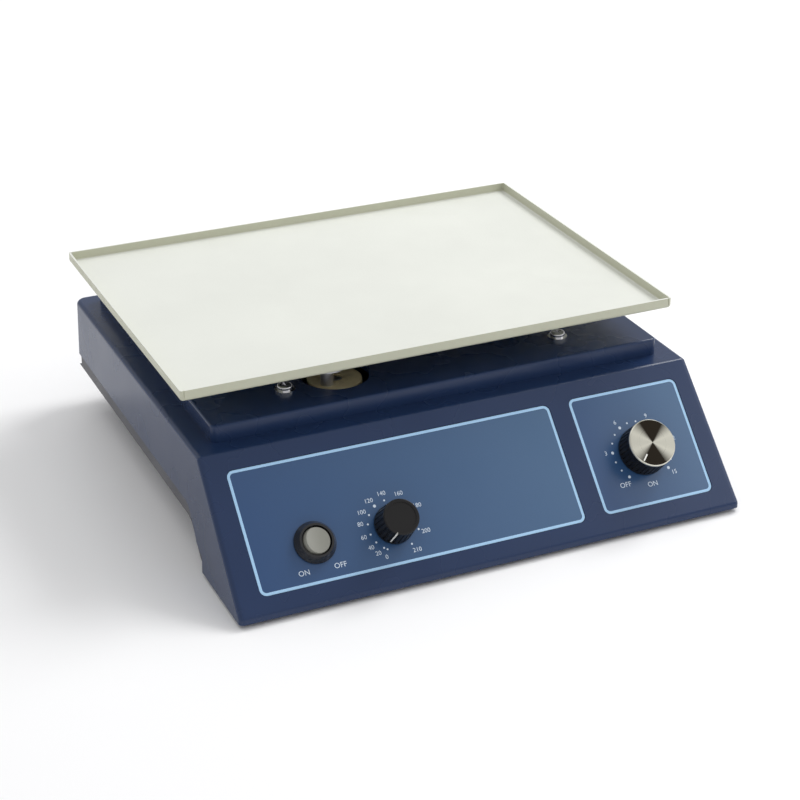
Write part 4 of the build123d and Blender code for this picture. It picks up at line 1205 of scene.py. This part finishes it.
@dataclass
class Knobs:
    """Both dials' knobs: black mouldings, white pointers and the timer's bright disc."""

    frame: Frame
    face: PanelFace
    black: Moulding = Moulding(
        "knob_black_moulding", srgb(17, 16, 17), 0.38, grain=0.4 * MM, grain_depth=0.006 * MM, spread=0.1,
        specular=0.3,
    )
    paint: Ink = Ink("pointer_white_ink", srgb(238, 238, 232), 0.5)
    silver: Colour = srgb(196, 194, 182)
    silver_roughness: float = 0.5
    # turn of the timer disc's painted reflection fans, and width of its painted rim highlight
    painted_fan_turn: float = 14.0
    painted_rim_width: float = 0.6 * MM
    pointer_width: float = 0.9 * MM
    face_reach: Span = (8.9 * MM, 13.9 * MM)
    face_sink: float = 0.3 * MM
    face_stand: float = 0.03 * MM
    flank_foot: Span = (11.8 * MM, 2.2 * MM)
    flank_head: Span = (10.75 * MM, 15.6 * MM)
    flank_floor: float = 9.8 * MM

    def build(self) -> None:
        """Dress both knobs and lay in their pointers."""
        self.frame.dress(self.black.make(), "speed_knob", "timer_knob")
        paint = self.paint.make()
        centre = self.frame.joint("timer_turn")[0]
        turn = math.radians(self.painted_fan_turn)
        across = self.face.across * math.cos(turn) - self.face.upward * math.sin(turn)
        left, right = self.frame.reach("timer_knob_cap", self.face.across)
        # the timer's disc gets painted reflection fans and a painted rim highlight
        spun = SpunFacePaintedFans(
            "timer_spun_disc", self.silver, self.silver_roughness, centre=centre, across=across,
            upward=self.face.out.cross(across), painted_rim_radius=(right - left) / 2 - self.painted_rim_width,
        )
        self.frame.dress(spun.make(), "timer_knob_cap")
        self.flank_pointer(paint)
        self.face_pointer(paint)

    def pointed(self, joint: str, angle: float) -> Matrix:
        """Place a pointer's axes, its Y along the pointer.

        Args:
            joint: the joint on whose axis the knob turns.
            angle: the pointer's angle clockwise from straight up.

        Returns:
            The place of the axes.
        """
        return self.face.matrix(self.frame.joint(joint)[0]) @ Matrix.Rotation(math.radians(-angle), 4, "Z")

    def flank_pointer(self, paint: bpy.types.Material) -> None:
        """Fill the groove down the speed knob's flank, with the outline upright along the pointer.

        Args:
            paint: the white paint.
        """
        upright = Matrix(((0, 0, 1, 0), (1, 0, 0, 0), (0, 1, 0, 0), (0, 0, 0, 1)))
        half = self.pointer_width / 2
        foot, head = self.flank_foot, self.flank_head
        outline = [(self.flank_floor, foot[1]), foot, head, (self.flank_floor, head[1])]
        form = Form()
        form.prism(outline, -half, half, self.pointed("speed_turn", SpeedScale().angles[0]) @ upright)
        form.piece("speed_knob_pointer", "speed_control", paint)

    def face_pointer(self, paint: bpy.types.Material) -> None:
        """Fill the groove in the timer's bright disc.

        Args:
            paint: the white paint.
        """
        top = self.frame.reach("timer_knob_cap", self.face.out)[1]
        lift = top - self.frame.joint("timer_turn")[0].dot(self.face.out)
        half = self.pointer_width / 2
        near, far = self.face_reach
        outline = [(-half, near), (half, near), (half, far), (-half, far)]
        form = Form()
        where = self.pointed("timer_turn", TimerScale().off)
        form.prism(outline, lift - self.face_sink, lift + self.face_stand, where)
        form.piece("timer_knob_cap_pointer", "timer_control", paint)


@dataclass
class PowerSwitch(Assembly):
    """Round rocker switch at the left of the main label."""

    body: Moulding = Moulding("switch_black_gloss", srgb(20, 20, 24), 0.22, grain_depth=0.004 * MM, coat=0.3)
    rocker: Moulding = Moulding("rocker_grey_moulding", srgb(138, 138, 130), 0.33, spread=0.05)

    def coats(self) -> Coats:
        """Return the finishes of the housing and the rocker."""
        return [(self.body, ("switch_housing",)), (self.rocker, ("power_rocker",))]


@dataclass
class TrayAssembly(Assembly):
    """Folded steel tray, its carrier and its fasteners."""

    # the tray's walls get a darker, warmer colour as painted shade
    coat: PowderCoat = PowderCoat(
        "cream_powder_coat", srgb(217, 219, 212), 0.42, painted_shading=srgb(196, 197, 176), scuff=srgb(150, 148, 138)
    )
    plate: Metal = Metal("carrier_aluminium", srgb(176, 177, 180), 0.34, lay=Lay.DRAWN)
    fastener: Metal = Metal("zinc_fastener", srgb(168, 168, 165), 0.32)

    def coats(self) -> Coats:
        """Return the finishes of the tray and of what holds it."""
        return [
            (self.coat, ("tray",)),
            (self.plate, ("carrier_plate", "bearing_cups")),
            (self.fastener, ("cup_screws", "tray_studs", "tray_nuts")),
        ]


@dataclass
class CrankDrive(Assembly):
    """Cranks, bearings, belt and motor."""

    cranks: tuple[str, ...] = ("drive", "rear_idler", "side_idler")
    nylon: Colour = srgb(212, 198, 156)
    nylon_roughness: float = 0.45
    ground: Metal = Metal("ground_steel", srgb(198, 198, 200), 0.34, lay=Lay.TURNED)
    bearing: Metal = Metal("bearing_steel", srgb(178, 179, 182), 0.16, lay=Lay.TURNED, pitch=0.15 * MM)
    plated: Metal = Metal("plated_screw", srgb(172, 172, 168), 0.3)
    alloy: Metal = Metal("pulley_alloy", srgb(182, 184, 188), 0.3, lay=Lay.TURNED)
    zinc: Spangle = Spangle("zinc_plate", srgb(158, 160, 160), 0.38)
    rubber: Rubber = Rubber("belt_rubber", srgb(30, 30, 30), 0.8, pale=srgb(70, 70, 70))

    def coats(self) -> Coats:
        """Return the drive's finishes, with rings of its own round each crank's shaft."""
        coats: Coats = []
        for crank in self.cranks:
            low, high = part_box(f"{crank}_shaft")
            nylon = TurnedNylon(f"{crank}_nylon", self.nylon, self.nylon_roughness, centre=(low + high) / 2)
            coats.append((nylon, (f"{crank}_disc",)))
        parts = ("shaft", "pin", "screw")
        shafts, pins, screws = ([f"{crank}_{part}" for crank in self.cranks] for part in parts)
        return coats + [
            (self.ground, (*shafts, *pins, "motor_shaft", "speed_spindle", "timer_spindle")),
            (self.plated, (*screws, "rear_idler_ring", "side_idler_ring", "chassis_screws", "panel_nuts")),
            (self.zinc, ("chassis_plate", "bearing_housings", "drive_counterweight", "drive_motor")),
            (self.bearing, ("shaft_bearings", "pin_bearings")),
            (self.alloy, ("drive_pulley", "motor_pulley")),
            (self.rubber, ("drive_belt",)),
        ]


@dataclass
class DeckScrews(Assembly):
    """Four bright screws with washers in the deck."""

    chrome: Metal = Metal("bright_chrome", srgb(226, 226, 228), 0.09, depth=0.001 * MM, stained=0.1)

    def coats(self) -> Coats:
        """Return the chrome."""
        return [(self.chrome, ("deck_screws", "deck_washers"))]


@dataclass
class Electrics(Assembly):
    """Board, transformer, controls' bodies and what is set in the back wall."""

    mask: SolderMask = SolderMask("board_green", srgb(24, 84, 48), 0.4, copper=srgb(44, 112, 62))
    parts: Moulding = Moulding("board_parts_black", srgb(34, 34, 38), 0.4)
    core: Laminate = Laminate("core_laminations", srgb(92, 92, 96), 0.6)
    coil: Winding = Winding("enamelled_winding", srgb(186, 104, 50), 0.5)
    black: Moulding = Moulding("control_black_moulding", srgb(24, 24, 25), 0.42, grain_depth=0.02 * MM)
    brass: Metal = Metal("plated_brass", srgb(206, 196, 160), 0.22, lay=Lay.DRAWN)
    plated: Metal = Metal("plated_small_screw", srgb(172, 172, 168), 0.3)

    def coats(self) -> Coats:
        """Return the finishes of the electrics."""
        return [
            (self.mask, ("control_board",)),
            (self.parts, ("board_parts",)),
            (self.core, ("transformer_core",)),
            (self.coil, ("transformer_coil",)),
            (self.black, ("speed_pot", "timer_body", "mains_inlet", "fuse_holder", "fuse_cap")),
            (self.brass, ("inlet_pins",)),
            (self.plated, ("inlet_screws", "base_screws")),
        ]


@dataclass
class Underside(Assembly):
    """Rubber feet and the screws that close the case."""

    rubber: Rubber = Rubber("foot_rubber", srgb(26, 26, 27), 0.75, pale=srgb(60, 60, 62))
    plated: Metal = Metal("case_screw_plate", srgb(120, 120, 118), 0.35)

    def coats(self) -> Coats:
        """Return the finishes of the feet and the screws."""
        return [(self.rubber, ("rubber_feet",)), (self.plated, ("foot_screws", "case_screws"))]


# Studio


@dataclass(frozen=True)
class SoftBox:
    """One square area light."""

    name: str
    towards: Triple
    distance: float
    width: float
    power: float

    def hang(self, target: Vector) -> None:
        """Hang the light in a direction from the target, facing it.

        Args:
            target: the point that it lights.
        """
        data = bpy.data.lights.new(self.name, "AREA")
        data.energy = self.power
        data.size = self.width
        made = placed(self.name, data)
        direction = Vector(self.towards).normalized()
        made.location = target + direction * self.distance
        made.rotation_euler = direction.to_track_quat("Z", "Y").to_euler()


@dataclass
class Studio:
    """Pale floor, soft light and the camera at the photograph's viewing angle."""

    stand: Vector = Vector((-0.4637, -1.0475, 0.6027))
    azimuth: float = -24.13
    elevation: float = 26.32
    roll: float = -0.17
    sensor: float = 36.0
    focal_pixels: float = 1980.0
    picture: float = 800.0
    shift: Span = (0.0019, 0.0025)
    clip: Span = (0.05, 20.0)
    floor_half: float = 12.0
    bench: Bench = Bench("pale_floor", srgb(247, 247, 248), 0.6)
    world_colour: Colour = (1.0, 1.0, 1.0)
    world_level: float = 0.62
    view_transform: str = "Standard"
    boxes: tuple[SoftBox, ...] = (
        SoftBox("key_box", (0.8, 0.25, 0.9), 2.2, 1.0, 27.0),
        SoftBox("front_box", (1.3, -0.75, 0.9), 2.4, 1.2, 8.0),
        SoftBox("top_box", (-0.1, 0.6, 1.0), 2.2, 1.6, 9.0),
    )

    def build(self) -> None:
        """Set floor, world, lights and camera."""
        self.lay_floor()
        self.light_world()
        low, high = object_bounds()
        for box in self.boxes:
            box.hang((low + high) / 2)
        self.aim_camera()
        bpy.context.scene.view_settings.view_transform = self.view_transform

    def lay_floor(self) -> None:
        """Lay the floor under the feet."""
        half = self.floor_half
        data = bpy.data.meshes.new("floor")
        corners = [(-half, -half, 0), (half, -half, 0), (half, half, 0), (-half, half, 0)]
        data.from_pydata(corners, [], [(0, 1, 2, 3)])
        data.materials.append(self.bench.make())
        placed("floor", data)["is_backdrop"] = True

    def light_world(self) -> None:
        """Give the surroundings an even pale light."""
        world = bpy.data.worlds.new("studio")
        world.use_nodes = True
        background = world.node_tree.nodes["Background"]
        background.inputs["Color"].default_value = (*self.world_colour, 1.0)
        background.inputs["Strength"].default_value = self.world_level
        bpy.context.scene.world = world

    def aim_camera(self) -> None:
        """Stand the camera where the photograph was taken from."""
        turn, tip, lean = (math.radians(a) for a in (self.azimuth, self.elevation, self.roll))
        ahead = Vector((-math.sin(turn) * math.cos(tip), math.cos(turn) * math.cos(tip), -math.sin(tip)))
        right = Vector((math.cos(turn), math.sin(turn), 0.0))
        above = right.cross(ahead)
        level, rise = math.cos(lean), math.sin(lean)
        data = bpy.data.cameras.new("camera")
        data.sensor_width = self.sensor
        data.lens = self.focal_pixels / self.picture * self.sensor
        data.shift_x, data.shift_y = self.shift
        data.clip_start, data.clip_end = self.clip
        camera = placed("camera", data)
        level_x, level_y = level * right + rise * above, level * above - rise * right
        camera.matrix_world = axes(self.stand, level_x, level_y, -ahead)
        bpy.context.scene.camera = camera


def main() -> None:
    """Load the frame, dress it, print its panels and set the studio."""
    logging.basicConfig(level=logging.INFO, format="%(name)s: %(message)s")
    frame = Frame(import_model())
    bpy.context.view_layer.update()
    face = PanelFace(-frame.joint("speed_turn")[1])
    Housing(frame).build()
    ControlPanel(frame, face).build()
    Knobs(frame, face).build()
    for assembly in (PowerSwitch, TrayAssembly, CrankDrive, DeckScrews, Electrics, Underside):
        assembly(frame).build()
    Studio().build()


if __name__ == "__main__":
    main()
